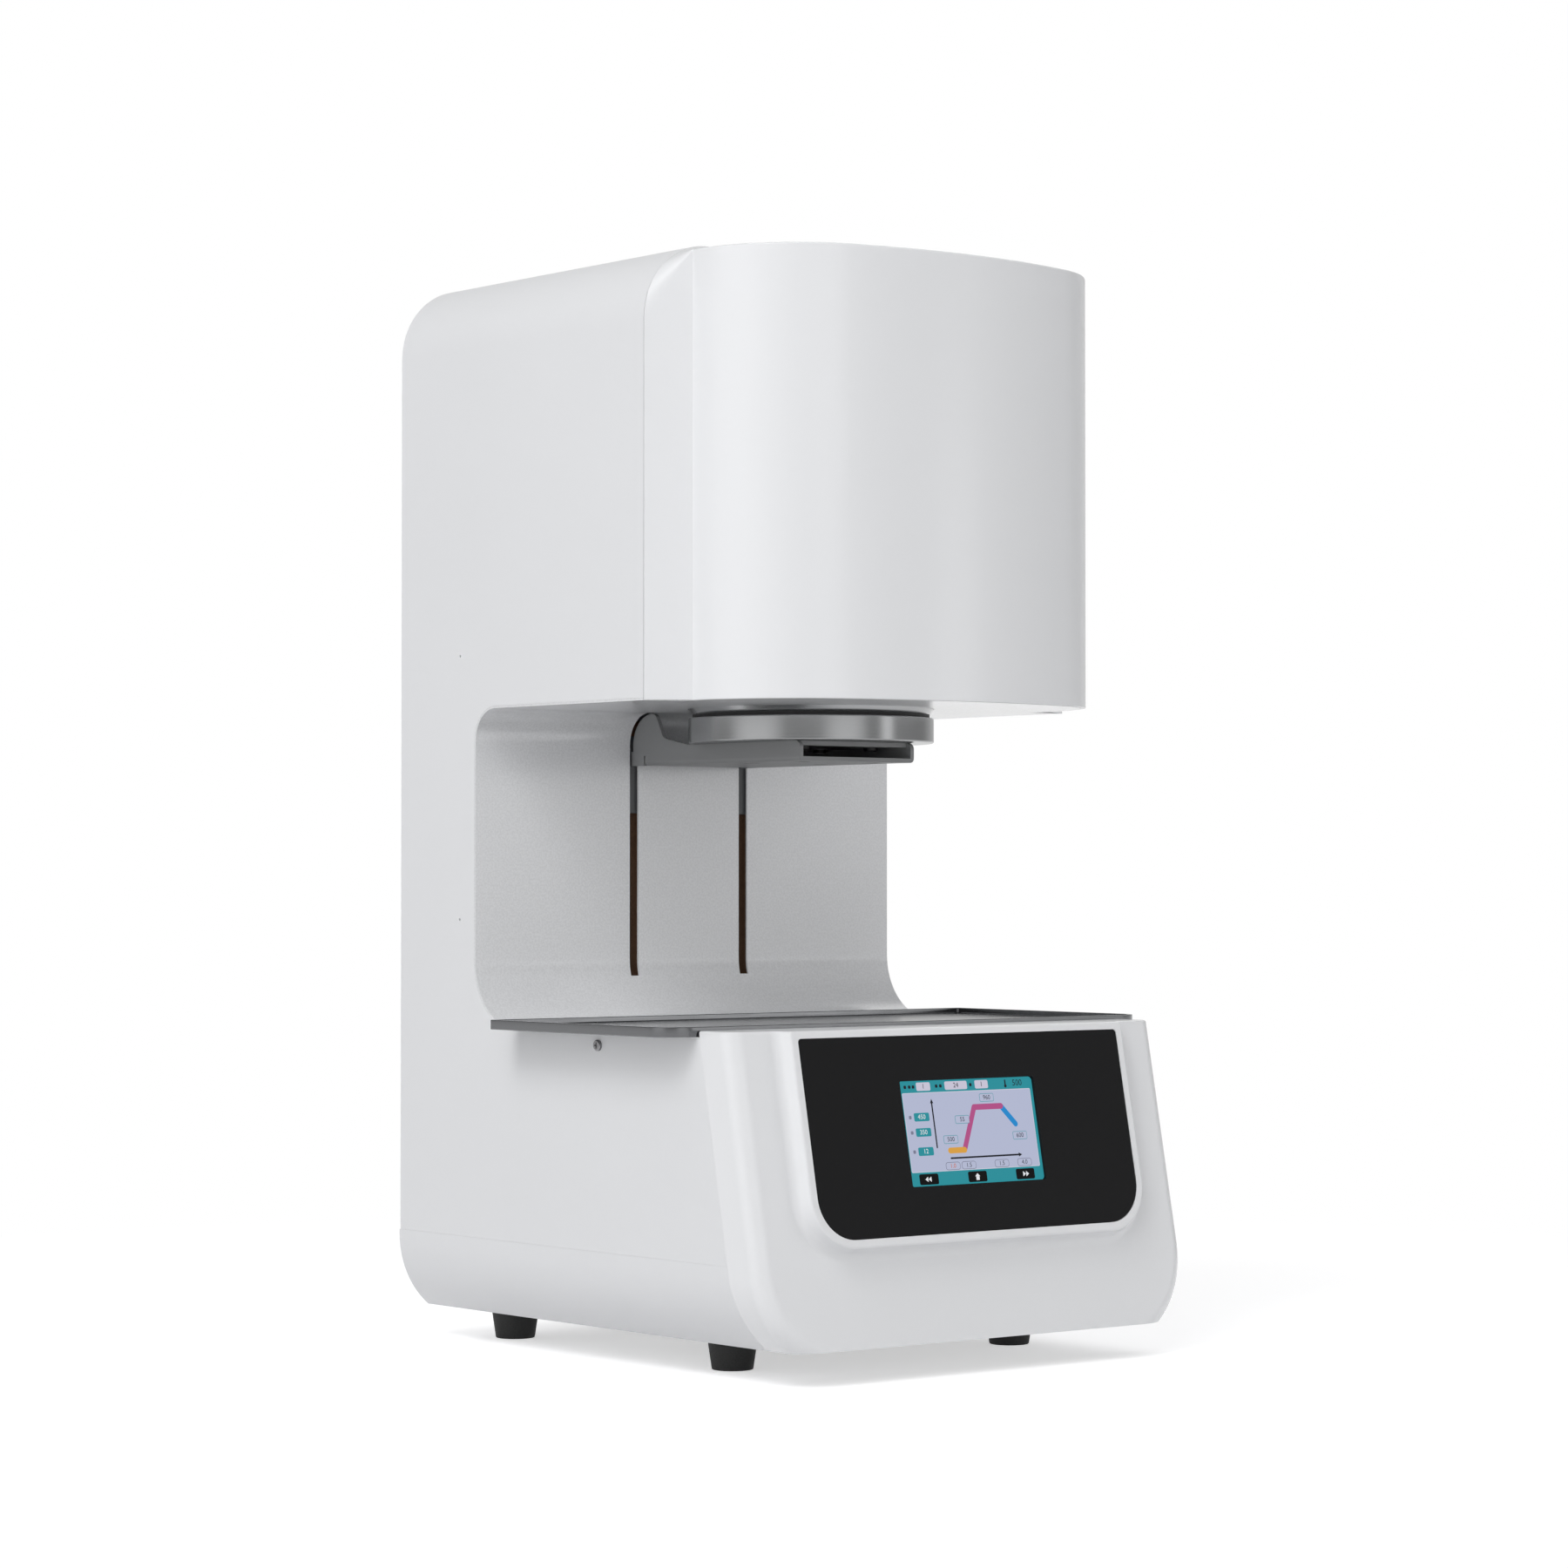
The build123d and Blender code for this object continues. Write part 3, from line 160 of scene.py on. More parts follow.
surface = {
    "coatRough": 0.12,
    "clouds": 9.0,  # slow changes of tone, per m
    "fleckFine": 1.7,  # flecks are this much finer than the grain
    "paintVary": 0.1,  # share by which roughness changes over a painted face
    "turnedVary": 0.15,
    "ridges": 5200,  # lathe rings per m
    "ridgeHigh": 0.00002,  # m
    "sweeps": 2.3,  # how often a turned face changes round its axis
}


# grain is per m, height is the grain's depth in m, level is the specular level
def paint(name, colour, rough, grain, height, mottle=0.03, coat=0.0, level=0.5, speckle=0.0):
    mat, tree, shader = newMaterial(name, roughness=rough, coatRoughness=surface["coatRough"],
                                    coatWeight=coat, specularIorLevel=level)
    place = objectPlace(tree)
    peel = noise(tree, place, grain, 3.0)
    cloud = noise(tree, place, surface["clouds"])
    tone = blendColour(tree, cloud, scaled(colour, 1 - mottle), colour)
    if speckle:
        fine = noise(tree, place, grain * surface["fleckFine"], 1.0)
        fleck = remap(tree, fine, 0.35, 0.65, 0.0, 1.0)
        tone = blendColour(tree, fleck, scaled(colour, 1 - speckle), tone)
    vary = surface["paintVary"]
    feed(tree, shader, baseColor=tone, normal=bump(tree, peel, 0.35, height),
         roughness=remap(tree, peel, 0.3, 0.7, rough * (1 - vary), rough * (1 + vary)))
    return mat


def metal(name, colour, rough, stretch, streak=0.1, tone=0.1):
    mat, tree, shader = newMaterial(name, metallic=1.0, roughness=rough)
    place = objectPlace(tree)
    lines = noise(tree, stretched(tree, place, stretch), 1.0, 4.0, 0.6)
    feed(tree, shader, baseColor=blendColour(tree, lines, scaled(colour, 1 - tone), colour),
         roughness=remap(tree, lines, 0.25, 0.75, max(rough - streak, 0.03), rough + streak))
    return mat


def turned(name, colour, rough, centre):  # rings about an upright axis, as a lathe leaves them
    mat, tree, shader = newMaterial(name, metallic=1.0, roughness=rough)
    place = node(tree, "ShaderNodeMapping", inputs={"Vector": objectPlace(tree),
                                                    "Location": (-centre[0], -centre[1], 0)})
    flat = node(tree, "ShaderNodeVectorMath", {"operation": "MULTIPLY"}, [place, (1, 1, 0)])
    radius = node(tree, "ShaderNodeVectorMath", {"operation": "LENGTH"}, [flat], output=1)
    height = node(tree, "ShaderNodeSeparateXYZ", inputs=[place], output=2)
    ridges = surface["ridges"]
    along = node(tree, "ShaderNodeCombineXYZ", inputs=[radius * ridges, height * ridges, 0.0])
    rings = noise(tree, along, 1.0, 3.0, 0.6)
    way = node(tree, "ShaderNodeVectorMath", {"operation": "NORMALIZE"}, [flat])
    sweep = noise(tree, way, surface["sweeps"], 1.0, 0.4)
    mask = rings * 0.5 + sweep * 0.5
    vary = surface["turnedVary"]
    feed(tree, shader, baseColor=blendColour(tree, mask, scaled(colour, 0.88), scaled(colour, 1.08)),
         roughness=remap(tree, mask, 0.3, 0.7, rough * (1 - vary), rough * (1 + vary)),
         normal=bump(tree, rings, 0.25, surface["ridgeHigh"]))
    return mat


arm = {
    "grey": rgb(140, 141, 142),
    # painted shade: the darker grey below stands in for the shade on the arm's part behind the column's sheet
    "paintedShadeGrey": rgb(84, 85, 87),
    "paintedShadeFrom": 72.0,  # mm in front of the rear panel
    "edge": 0.4,  # mm over which one grey turns into the other
}


def armPaint():  # grey paint on the arm, with painted shade: a darker grey where it runs behind the column's sheet, standing in for the shade inside the slots
    mat = paint("armPaint", arm["grey"], 0.4, 900, 0.00005, speckle=0.04)
    tree = mat.node_tree
    shader = tree.nodes["Principled BSDF"]
    painted = Field(tree, shader.inputs["Base Color"].links[0].from_socket)
    depth = node(tree, "ShaderNodeSeparateXYZ", inputs=[objectPlace(tree)], output=1)
    start = rearY - (arm["paintedShadeFrom"] + arm["edge"] / 2) * mm
    # mask of the painted shade, by depth behind the column's sheet
    shadeMask = remap(tree, depth, start, start + arm["edge"] * mm, 0.0, 1.0)
    feed(tree, shader, baseColor=blendColour(tree, shadeMask, painted, arm["paintedShadeGrey"]))
    return mat


tableLow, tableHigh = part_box("lift_table")
tableCentre = ((tableLow.x + tableHigh.x) / 2, (tableLow.y + tableHigh.y) / 2)
materials = {
    "case_paint": paint("casePaint", rgb(234, 235, 237), 0.4, 600, 0.00003, 0.02, level=0.35),
    "cover_moulding": paint("coverMoulding", rgb(240, 241, 243), 0.23, 300, 0.000006, 0.01, 0.35, 0.4),
    "liner_paint": paint("linerPaint", rgb(238, 239, 241), 0.23, 520, 0.00005, 0.03, 0.5, 0.6, speckle=0.1),
    "panel_film": paint("panelFilm", rgb(28, 28, 29), 0.45, 1500, 0.00003, level=0.12),
    "display_black": paint("displayBlack", rgb(14, 14, 15), 0.5, 900, 0.00003, level=0.2),
    "stainless": metal("stainless", rgb(118, 119, 121), 0.14, (40, 900, 900), 0.05),
    "turned_steel": turned("turnedSteel", rgb(158, 159, 160), 0.22, tableCentre),
    "arm_paint": armPaint(),
    "rubber": paint("rubber", rgb(30, 30, 30), 0.7, 1200, 0.00008),
    "screw_steel": metal("screwSteel", rgb(140, 140, 142), 0.2, (400, 400, 400), 0.06),
    "zinc_sheet": metal("zincSheet", rgb(180, 182, 185), 0.4, (60, 60, 60), 0.1, 0.2),
    "aluminium": metal("aluminium", rgb(190, 191, 193), 0.38, (900, 60, 60)),
    "ceramic_fibre": paint("ceramicFibre", rgb(230, 225, 212), 0.9, 500, 0.0003, 0.08, speckle=0.08),
    "firing_ceramic": paint("firingCeramic", rgb(214, 200, 180), 0.75, 700, 0.0001, 0.1, speckle=0.1),
    "heater_wire": paint("heaterWire", rgb(84, 74, 68), 0.7, 600, 0.0001, 0.3),
    "brass": metal("brass", rgb(196, 160, 92), 0.2, (300, 300, 300), 0.06),
    "ground_steel": metal("groundSteel", rgb(190, 190, 192), 0.17, (900, 900, 60), 0.08),
    "motor_black": paint("motorBlack", rgb(34, 34, 35), 0.5, 700, 0.00005),
    "fan_black": paint("fanBlack", rgb(28, 28, 29), 0.5, 500, 0.00004),
    "fitting_black": paint("fittingBlack", rgb(26, 26, 27), 0.4, 700, 0.00004),
    "rocker_black": paint("rockerBlack", rgb(22, 22, 23), 0.3, 700, 0.00002),
    "board_green": paint("boardGreen", rgb(30, 92, 52), 0.35, 300, 0.00003, 0.15),
    "seal_silicone": paint("sealSilicone", rgb(22, 22, 23), 0.6, 800, 0.00005),
    "seal_felt": paint("sealFelt", rgb(138, 106, 82), 0.9, 900, 0.0002, 0.2, speckle=0.25),
    "quartz": paint("quartz", rgb(225, 230, 232), 0.1, 300, 0.00002),
    "screen_glass": paint("screenGlass", rgb(14, 15, 16), 0.06, 300, 0.00001, level=0.3),
}
nodeSlots = {row["node"]: row["material_slot"] for row in frame["record"]["subparts"]}
bodyRows = frame["record"]["behaviour"]["bodies"]
nodeBodies = {name: body for body, names in bodyRows.items() for name in names}
for name, obj in nodes.items():
    obj.data.materials.clear()
    obj.data.materials.append(materials[nodeSlots[name]])
nodes["bracket_screws"].data.materials[0] = materials["fitting_black"]  # black oxide
print("stage: materials")

screen = {
    "tilt": 11.3,  # degrees the panel leans back
    "glassThick": 1.1,
    "width": 93.0,
    "height": 55.2,
    "corner": 2.2,
    "header": 6.2,
    "footer": 7.4,
    "border": 1.9,
    "lift": 0.03,  # mm between two layers of the picture
    "glow": 0.92,
}
hues = {
    "teal": rgb(44, 146, 158),
    "deepTeal": rgb(34, 124, 136),
    "field": rgb(184, 190, 215),
    "fieldEdge": rgb(206, 208, 224),
    "chip": rgb(206, 202, 220),
    "ink": rgb(30, 32, 40),
    "black": rgb(6, 7, 8),
    "white": rgb(232, 236, 240),
    "orange": rgb(222, 164, 70),
    "magenta": rgb(182, 84, 138),
    "blue": rgb(40, 140, 208),
    "line": rgb(92, 158, 172),
    "warmInk": rgb(206, 104, 66),
    "greyLine": rgb(126, 128, 150),
}


def panelFrame(name, thick):  # origin at the top middle of a leaning plate's front face, X right, Y up it
    low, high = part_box(name)
    lean = radians(screen["tilt"])
    length = (high.z - low.z - thick * mm * sin(lean)) / cos(lean)
    top = Vector((0, low.y + length * sin(lean), high.z))
    up = Vector((0, sin(lean), cos(lean)))
    out = Vector((0, -cos(lean), sin(lean)))
    place = Matrix(((1, up.x, out.x, top.x), (0, up.y, out.y, top.y), (0, up.z, out.z, top.z), (0, 0, 0, 1)))
    return place, length


def roundCorners(cx, cy, width, height, radius, steps=6):
    points = []
    for sx, sy, start in ((1, 1, 0), (-1, 1, 90), (-1, -1, 180), (1, -1, 270)):
        ox = cx + sx * (width / 2 - radius)
        oy = cy + sy * (height / 2 - radius)
        for i in range(steps + 1):
            angle = radians(start + 90 * i / steps)
            points.append((ox + radius * cos(angle), oy + radius * sin(angle)))
    return points


def textPoints(words, size):  # the triangles of a line of text, centred, in mm
    curve = bpy.data.curves.new("words", "FONT")
    curve.body = words
    curve.size = size
    curve.align_x = "CENTER"
    curve.align_y = "CENTER"
    curve.resolution_u = 3
    obj = bpy.data.objects.new("words", curve)
    scene.collection.objects.link(obj)
    bpy.context.view_layer.update()
    mesh = bpy.data.meshes.new_from_object(obj.evaluated_get(bpy.context.evaluated_depsgraph_get()))
    mesh.calc_loop_triangles()
    shapes = [[tuple(mesh.vertices[i].co.xy) for i in t.vertices] for t in mesh.loop_triangles]
    bpy.data.objects.remove(obj)
    bpy.data.curves.remove(curve)
    bpy.data.meshes.remove(mesh)
    return shapes


class Sheet:  # flat coloured shapes in layers, in mm from the picture's middle
    def __init__(self):
        self.mesh = bmesh.new()
        self.tint = self.mesh.loops.layers.float_color.new("tint")

    def shape(self, points, colours, layer):
        corners = [self.mesh.verts.new((x, y, layer * screen["lift"])) for x, y in points]
        face = self.mesh.faces.new(corners)
        face.normal_update()
        if face.normal.z < 0:
            face.normal_flip()
        for loop in face.loops:
            loop[self.tint] = colours(loop.vert.co) if callable(colours) else hues[colours]

    def box(self, cx, cy, width, height, radius, colour, layer):
        self.shape(roundCorners(cx, cy, width, height, radius), colour, layer)

    def frame(self, cx, cy, width, height, radius, colour, fill, layer):
        self.box(cx, cy, width, height, radius, colour, layer)
        self.box(cx, cy, width - 0.6, height - 0.6, max(radius - 0.3, 0.1), fill, layer + 1)

    def words(self, text, size, cx, cy, colour, layer):
        for triangle in textPoints(text, size):
            self.shape([(x + cx, y + cy) for x, y in triangle], colour, layer)

    def stroke(self, a, b, width, colour, layer):  # a bar with round ends
        turn = atan2(b[1] - a[1], b[0] - a[0])
        points = []
        for centre, start in ((b, -90), (a, 90)):
            for i in range(9):
                angle = turn + radians(start + 180 * i / 8)
                points.append((centre[0] + width / 2 * cos(angle), centre[1] + width / 2 * sin(angle)))
        self.shape(points, colour, layer)


picture = {  # places and sizes in mm from the screen's middle
    "counters": ((-29.5, 9.6, "1"), (-7.0, 15.5, "24"), (10.8, 9.2, "1")),  # x, width, text
    "counterSize": (4.4, 0.9, 3.7),  # height, corner, letters
    "headDots": (-42.0, -39.0, -36.4, -20.5, -17.6, 3.2),
    "dot": (1.7, 0.5),  # width, corner
    "gauge": 27.6,
    "heat": ("500", 4.6, 36.0),  # text, letters, x
    "curve": ((-16.6, -9.6), (-6.6, -9.6), (3.6, 12.6), (22.4, 12.6), (31.2, 2.8)),
    "legs": ((0, 1, "orange", 6), (1, 2, "magenta", 4), (2, 3, "magenta", 5), (3, 4, "blue", 4)),
    "curveWide": 3.1,
    "axisWide": 0.9,
    "upAxis": ((-25.2, -7.6), (-25.2, 16.2)),
    "upTip": ((-26.3, 15.6), (-24.1, 15.6), (-25.2, 18.0)),
    "sideAxis": ((-16.6, -13.6), (31.0, -13.6)),
    "sideTip": ((30.6, -14.7), (30.6, -12.5), (33.0, -13.6)),
    "sideRows": ((8.6, "450"), (0.6, "350"), (-9.4, "12")),
    "sideX": -33.2,
    "sideDot": -41.0,
    "heats": ((-15.2, -3.8, "500"), (-5.6, 6.4, "55"), (13.2, 17.4, "960"), (33.2, -3.4, "600")),
    "times": ((-16.0, "1.0", "warmInk"), (-5.0, "1.5", "ink"), (18.0, "1.5", "ink"), (34.0, "4.0", "ink")),
    "timesY": -17.7,
    "keys": (-33.5, 0.0, 33.5),
    "keySize": (13.0, 5.6, 1.0),
}


def makePicture():
    place, length = panelFrame("touch_glass", screen["glassThick"])
    w, h = screen["width"], screen["height"]
    sheet = Sheet()
    sheet.box(0, 0, w, h, screen["corner"], "teal", 1)
    fieldTop = h / 2 - screen["header"]
    fieldLow = -h / 2 + screen["footer"]
    midY = (fieldTop + fieldLow) / 2
    fieldW = w - 2 * screen["border"]
    sheet.box(0, midY, fieldW, fieldTop - fieldLow, 0.8, "fieldEdge", 2)
    sheet.box(0, midY, fieldW - 0.8, fieldTop - fieldLow - 0.8, 0.6, "field", 3)
    headY = h / 2 - screen["header"] / 2
    tall, corner, letters = picture["counterSize"]
    for x, width, text in picture["counters"]:
        sheet.box(x, headY, width, tall, corner, "chip", 2)
        sheet.words(text, letters, x, headY, "ink", 3)
    dot, dotCorner = picture["dot"]
    for x in picture["headDots"]:
        sheet.box(x, headY, dot, dot, dotCorner, "ink", 2)
    sheet.box(picture["gauge"], headY, 0.9, 4.0, 0.4, "ink", 2)
    sheet.box(picture["gauge"], headY - 1.4, 1.7, 1.7, 0.8, "ink", 3)
    text, letters, x = picture["heat"]
    sheet.words(text, letters, x, headY, "ink", 2)
    curve = picture["curve"]
    for a, b, colour, layer in picture["legs"]:
        sheet.stroke(curve[a], curve[b], picture["curveWide"], colour, layer)
    for axis, tip in (("upAxis", "upTip"), ("sideAxis", "sideTip")):
        sheet.stroke(*picture[axis], picture["axisWide"], "ink", 4)
        sheet.shape(picture[tip], "ink", 5)
    for y, text in picture["sideRows"]:
        sheet.box(picture["sideX"], y, 10.4, 4.4, 0.8, "teal", 4)
        sheet.words(text, 3.5, picture["sideX"], y, "white", 5)
        sheet.box(picture["sideDot"], y, 1.8, 1.8, 0.5, "greyLine", 4)
    for x, y, text in picture["heats"]:
        sheet.frame(x, y, 10.0, 4.4, 0.9, "line", "field", 4)
        sheet.words(text, 3.4, x, y, "ink", 6)
    for x, text, ink in picture["times"]:
        sheet.frame(x, picture["timesY"], 10.0, 4.2, 1.5, "greyLine", "field", 4)
        sheet.words(text, 3.3, x, picture["timesY"], ink, 6)
    footY = -h / 2 + screen["footer"] / 2
    for x in picture["keys"]:
        sheet.box(x, footY, *picture["keySize"], "black", 2)
    for x, way in ((picture["keys"][0], -1), (picture["keys"][-1], 1)):  # back and forward
        for shift in (-1.6, 0.6):
            tip = x + way * (shift + 2.0)
            tail = tip - way * 2.0
            sheet.shape([(tail, footY - 1.4), (tip, footY), (tail, footY + 1.4)], "white", 3)
    sheet.shape([(-1.7, footY + 0.1), (0, footY + 1.8), (1.7, footY + 0.1)], "white", 3)  # home
    sheet.box(0, footY - 0.9, 2.2, 1.9, 0.1, "white", 4)
    mesh = bpy.data.meshes.new("screenPicture")
    sheet.mesh.to_mesh(mesh)
    sheet.mesh.free()
    middle = Matrix.Translation((0, -length / 2, 0))
    mesh.transform(place @ middle @ Matrix.Scale(mm, 4))
    mat, tree, shader = newMaterial("screenLit", baseColor=(0.004, 0.004, 0.004, 1), roughness=0.5,
                                    emissionStrength=screen["glow"], specularIorLevel=0.1)
    tint = node(tree, "ShaderNodeVertexColor", {"layer_name": "tint"})
    feed(tree, shader, emissionColor=tint)
    mesh.materials.append(mat)
    piece = bpy.data.objects.new("screenPicture", mesh)
    scene.collection.objects.link(piece)
    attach(piece, "base")


makePicture()
print("stage: screen picture")


def shapeTree(name, build, sizes, material):  # a mesh from a geometry node tree with named sizes
    tree = bpy.data.node_groups.new(name, "GeometryNodeTree")
    tree.interface.new_socket("Shape", in_out="OUTPUT", socket_type="NodeSocketGeometry")
    kinds = {int: "NodeSocketInt", float: "NodeSocketFloat", tuple: "NodeSocketVector"}
    keys = {label: tree.interface.new_socket(label, in_out="INPUT", socket_type=kinds[type(value)]).identifier
            for label, value in sizes.items()}
    entry = tree.nodes.new("NodeGroupInput")
    shape = build(tree, {label: Field(tree, entry.outputs[label]) for label in sizes})
    solid = node(tree, "GeometryNodeRealizeInstances", inputs=[shape])
    finished = node(tree, "GeometryNodeSetMaterial", inputs={"Geometry": solid, "Material": material})
    tree.links.new(finished.socket, tree.nodes.new("NodeGroupOutput").inputs[0])
    obj = bpy.data.objects.new(name, bpy.data.meshes.new(name))
    scene.collection.objects.link(obj)
    modifier = obj.modifiers.new(name, "NODES")
    modifier.node_group = tree
    for label, value in sizes.items():
        modifier[keys[label]] = value
    mesh = bpy.data.meshes.new_from_object(obj.evaluated_get(bpy.context.evaluated_depsgraph_get()))
    obj.modifiers.clear()
    obj.data = mesh
    return obj


def settle(piece, like, replaces=False):  # on the body of a CAD node, hiding that node when the piece replaces it
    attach(piece, nodeBodies[like])
    if replaces:
        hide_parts(like)


edging = {  # width in mm of the eased edges of sheet parts
    "outer_wrap": 0.35,
    "column_liner": 0.3,
    "rear_panel": 0.3,
    "bottom_pan": 0.35,
    "cooling_tray": 0.5,
    "lift_bracket": 0.35,
    "head_shelf": 0.3,
    "control_fascia": 0.25,
    "front_bezel": 0.4,
    "head_cover": 0.4,
}


easing = {
    "merge": 0.000002,  # m between points that are one
    "flat": 0.6,  # degrees between faces that are one
    "sharp": 40,  # degrees from which an edge is eased
    "segments": 2,
    "flatWeight": 90,  # keeps broad faces flat in their shading
}


def easeEdges(name, width):
    shape = bmesh.new()
    shape.from_mesh(nodes[name].data)
    bmesh.ops.remove_doubles(shape, verts=shape.verts, dist=easing["merge"])
    bmesh.ops.dissolve_limit(shape, angle_limit=radians(easing["flat"]), verts=shape.verts, edges=shape.edges)
    mesh = bpy.data.meshes.new(name)
    shape.to_mesh(mesh)
    shape.free()
    for face in mesh.polygons:
        face.use_smooth = True
    mesh.materials.append(nodes[name].data.materials[0])
    piece = bpy.data.objects.new(name + "_eased", mesh)
    scene.collection.objects.link(piece)
    bevel = piece.modifiers.new("bevel", "BEVEL")
    bevel.width = width * mm
    bevel.segments = easing["segments"]
    bevel.angle_limit = radians(easing["sharp"])
    weighted = piece.modifiers.new("weighted", "WEIGHTED_NORMAL")
    weighted.weight = easing["flatWeight"]
    done = bpy.data.meshes.new_from_object(piece.evaluated_get(bpy.context.evaluated_depsgraph_get()))
    piece.modifiers.clear()
    piece.data = done
    settle(piece, name, replaces=True)


for name, width in edging.items():
    easeEdges(name, width)
print("stage: eased edges")

louvres = {
    "rows": 8,
    "first": 306.0,  # mm above the bench
    "pitch": 9.0,
    "slotHigh": 3.2,
    "slotWide": 60.0,
    "side": 70.0,  # from the middle to each bank
    "lap": 1.4,  # pressed edge round the slot
    "proud": 2.6,
    "skin": 0.7,
    "grid": (33, 9),  # points across and up a hood
    "endCurve": 8.0,  # higher makes the hood's ends blunter
    "merge": 0.01,
}


def louvreTree(tree, size):
    wide, high = size["Wide"], size["High"]
    sheet = node(tree, "GeometryNodeMeshGrid", inputs=[wide, high, *louvres["grid"]])
    place = node(tree, "GeometryNodeInputPosition")
    across = node(tree, "ShaderNodeSeparateXYZ", inputs=[place], output=0)
    up = node(tree, "ShaderNodeSeparateXYZ", inputs=[place], output=1)
    ends = (across / (wide * 0.5)).op("POWER", louvres["endCurve"])
    rise = up / high + 0.5  # 0 at the open lip, 1 where it meets the panel
    dome = (1 - rise * rise).op("MAXIMUM", 0.0).op("SQRT") * (1 - ends)
    pressed = node(tree, "ShaderNodeCombineXYZ", inputs=[across, dome * size["Proud"], up])
    hood = node(tree, "GeometryNodeSetPosition", inputs={"Geometry": sheet, "Position": pressed})
    thick = node(tree, "GeometryNodeExtrudeMesh", inputs={"Mesh": hood, "Offset Scale": size["Skin"],
                                                          "Individual": False})
    back = node(tree, "GeometryNodeFlipFaces", inputs=[hood])
    shell = tree.nodes.new("GeometryNodeJoinGeometry")
    for part in (thick, back):
        tree.links.new(part.socket, shell.inputs[0])
    closed = node(tree, "GeometryNodeMergeByDistance", inputs={"Geometry": Field(tree, shell.outputs[0]),
                                                               "Distance": louvres["merge"] * mm})
    rows = node(tree, "GeometryNodeMeshLine", inputs={"Count": size["Rows"], "Start Location": size["Start"],
                                                      "Offset": size["Row step"]})
    bank = node(tree, "GeometryNodeInstanceOnPoints", inputs={"Points": rows, "Instance": closed})
    pair = node(tree, "GeometryNodeMeshLine", inputs={"Count": 2, "Start Location": (0, 0, 0),
                                                      "Offset": size["Bank step"]})
    return node(tree, "GeometryNodeInstanceOnPoints", inputs={"Points": pair, "Instance": bank})


def makeLouvres():
    high = (louvres["slotHigh"] + louvres["lap"]) * mm
    side = louvres["side"] * mm
    start = (-side, rearY, louvres["first"] * mm + high / 2)
    hoods = shapeTree("louvreHoods", louvreTree, {
        "Wide": (louvres["slotWide"] + 2 * louvres["lap"]) * mm,
        "High": high,
        "Proud": louvres["proud"] * mm,
        "Skin": -louvres["skin"] * mm,
        "Rows": louvres["rows"],
        "Start": start,
        "Row step": (0.0, 0.0, louvres["pitch"] * mm),
        "Bank step": (2 * side, 0.0, 0.0),
    }, materials["case_paint"])
    settle(hoods, "rear_panel")


makeLouvres()
print("stage: louvres")

leadScrew = {
    "lead": 8.0,  # mm that the lift moves in a turn
    "starts": 4,
    "ridge": 0.55,  # half thickness of the thread
    "bare": (14.0, 9.0),  # plain journals at the foot and the head
    "root": 1.6,  # ridges from the crest down to the core
    "steps": 24,  # in a turn
}
coil = {
    "turns": 10,
    "wire": 1.6,
    "lead": 2.5,
    "leadSide": 30.0,
    "leadLong": 54.0,
    "steps": 64,
}
helix = {
    "wireSides": 8,
    "rodSides": 32,
}


def helixTree(tree, size):
    ring = node(tree, "GeometryNodeCurvePrimitiveCircle", inputs={
        "Resolution": helix["wireSides"], "Radius": size["Wire"]})
    spiral = node(tree, "GeometryNodeCurveSpiral", inputs={
        "Resolution": size["Steps"], "Rotations": size["Turns"], "Start Radius": size["Radius"],
        "End Radius": size["Radius"], "Height": size["Rise"]})
    wire = node(tree, "GeometryNodeCurveToMesh", inputs={"Curve": spiral, "Profile Curve": ring,
                                                         "Fill Caps": True})
    starts = node(tree, "GeometryNodeMeshLine", inputs={
        "Count": size["Starts"], "Start Location": size["Foot"], "Offset": (0, 0, 0)})
    turn = node(tree, "GeometryNodeInputIndex") / size["Starts"] * radians(360)
    spread = node(tree, "ShaderNodeCombineXYZ", inputs=[0, 0, turn])
    raised = node(tree, "GeometryNodeInstanceOnPoints", inputs={
        "Points": starts, "Instance": wire, "Rotation": spread})
    rod = node(tree, "GeometryNodeMeshCylinder", inputs={
        "Vertices": helix["rodSides"], "Radius": size["Rod"], "Depth": size["Rod length"]})
    pair = node(tree, "GeometryNodeMeshLine", inputs={
        "Count": size["Rods"], "Start Location": size["Rod place"], "Offset": size["Rod step"]})
    rods = node(tree, "GeometryNodeInstanceOnPoints", inputs={"Points": pair, "Instance": rod})
    both = tree.nodes.new("GeometryNodeJoinGeometry")
    for part in (raised, rods):
        tree.links.new(part.socket, both.inputs[0])
    return Field(tree, both.outputs[0])


def makeLeadScrew():
    low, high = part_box("lead_screw")
    radius = (high.x - low.x) / 2
    middle = (low + high) / 2
    foot, head = (gap * mm for gap in leadScrew["bare"])
    rise = high.z - low.z - foot - head
    ridge = leadScrew["ridge"] * mm
    made = shapeTree("leadScrewThread", helixTree, {
        "Wire": ridge,
        "Steps": leadScrew["steps"],
        "Turns": rise / (leadScrew["lead"] * mm),
        "Starts": leadScrew["starts"],
        "Radius": radius - ridge,
        "Rise": rise,
        "Foot": (middle.x, middle.y, low.z + foot),
        "Rod": radius - leadScrew["root"] * ridge,
        "Rod length": high.z - low.z,
        "Rods": 1,
        "Rod place": tuple(middle),
        "Rod step": (0.0, 0.0, 0.0),
    }, materials["ground_steel"])
    settle(made, "lead_screw", replaces=True)


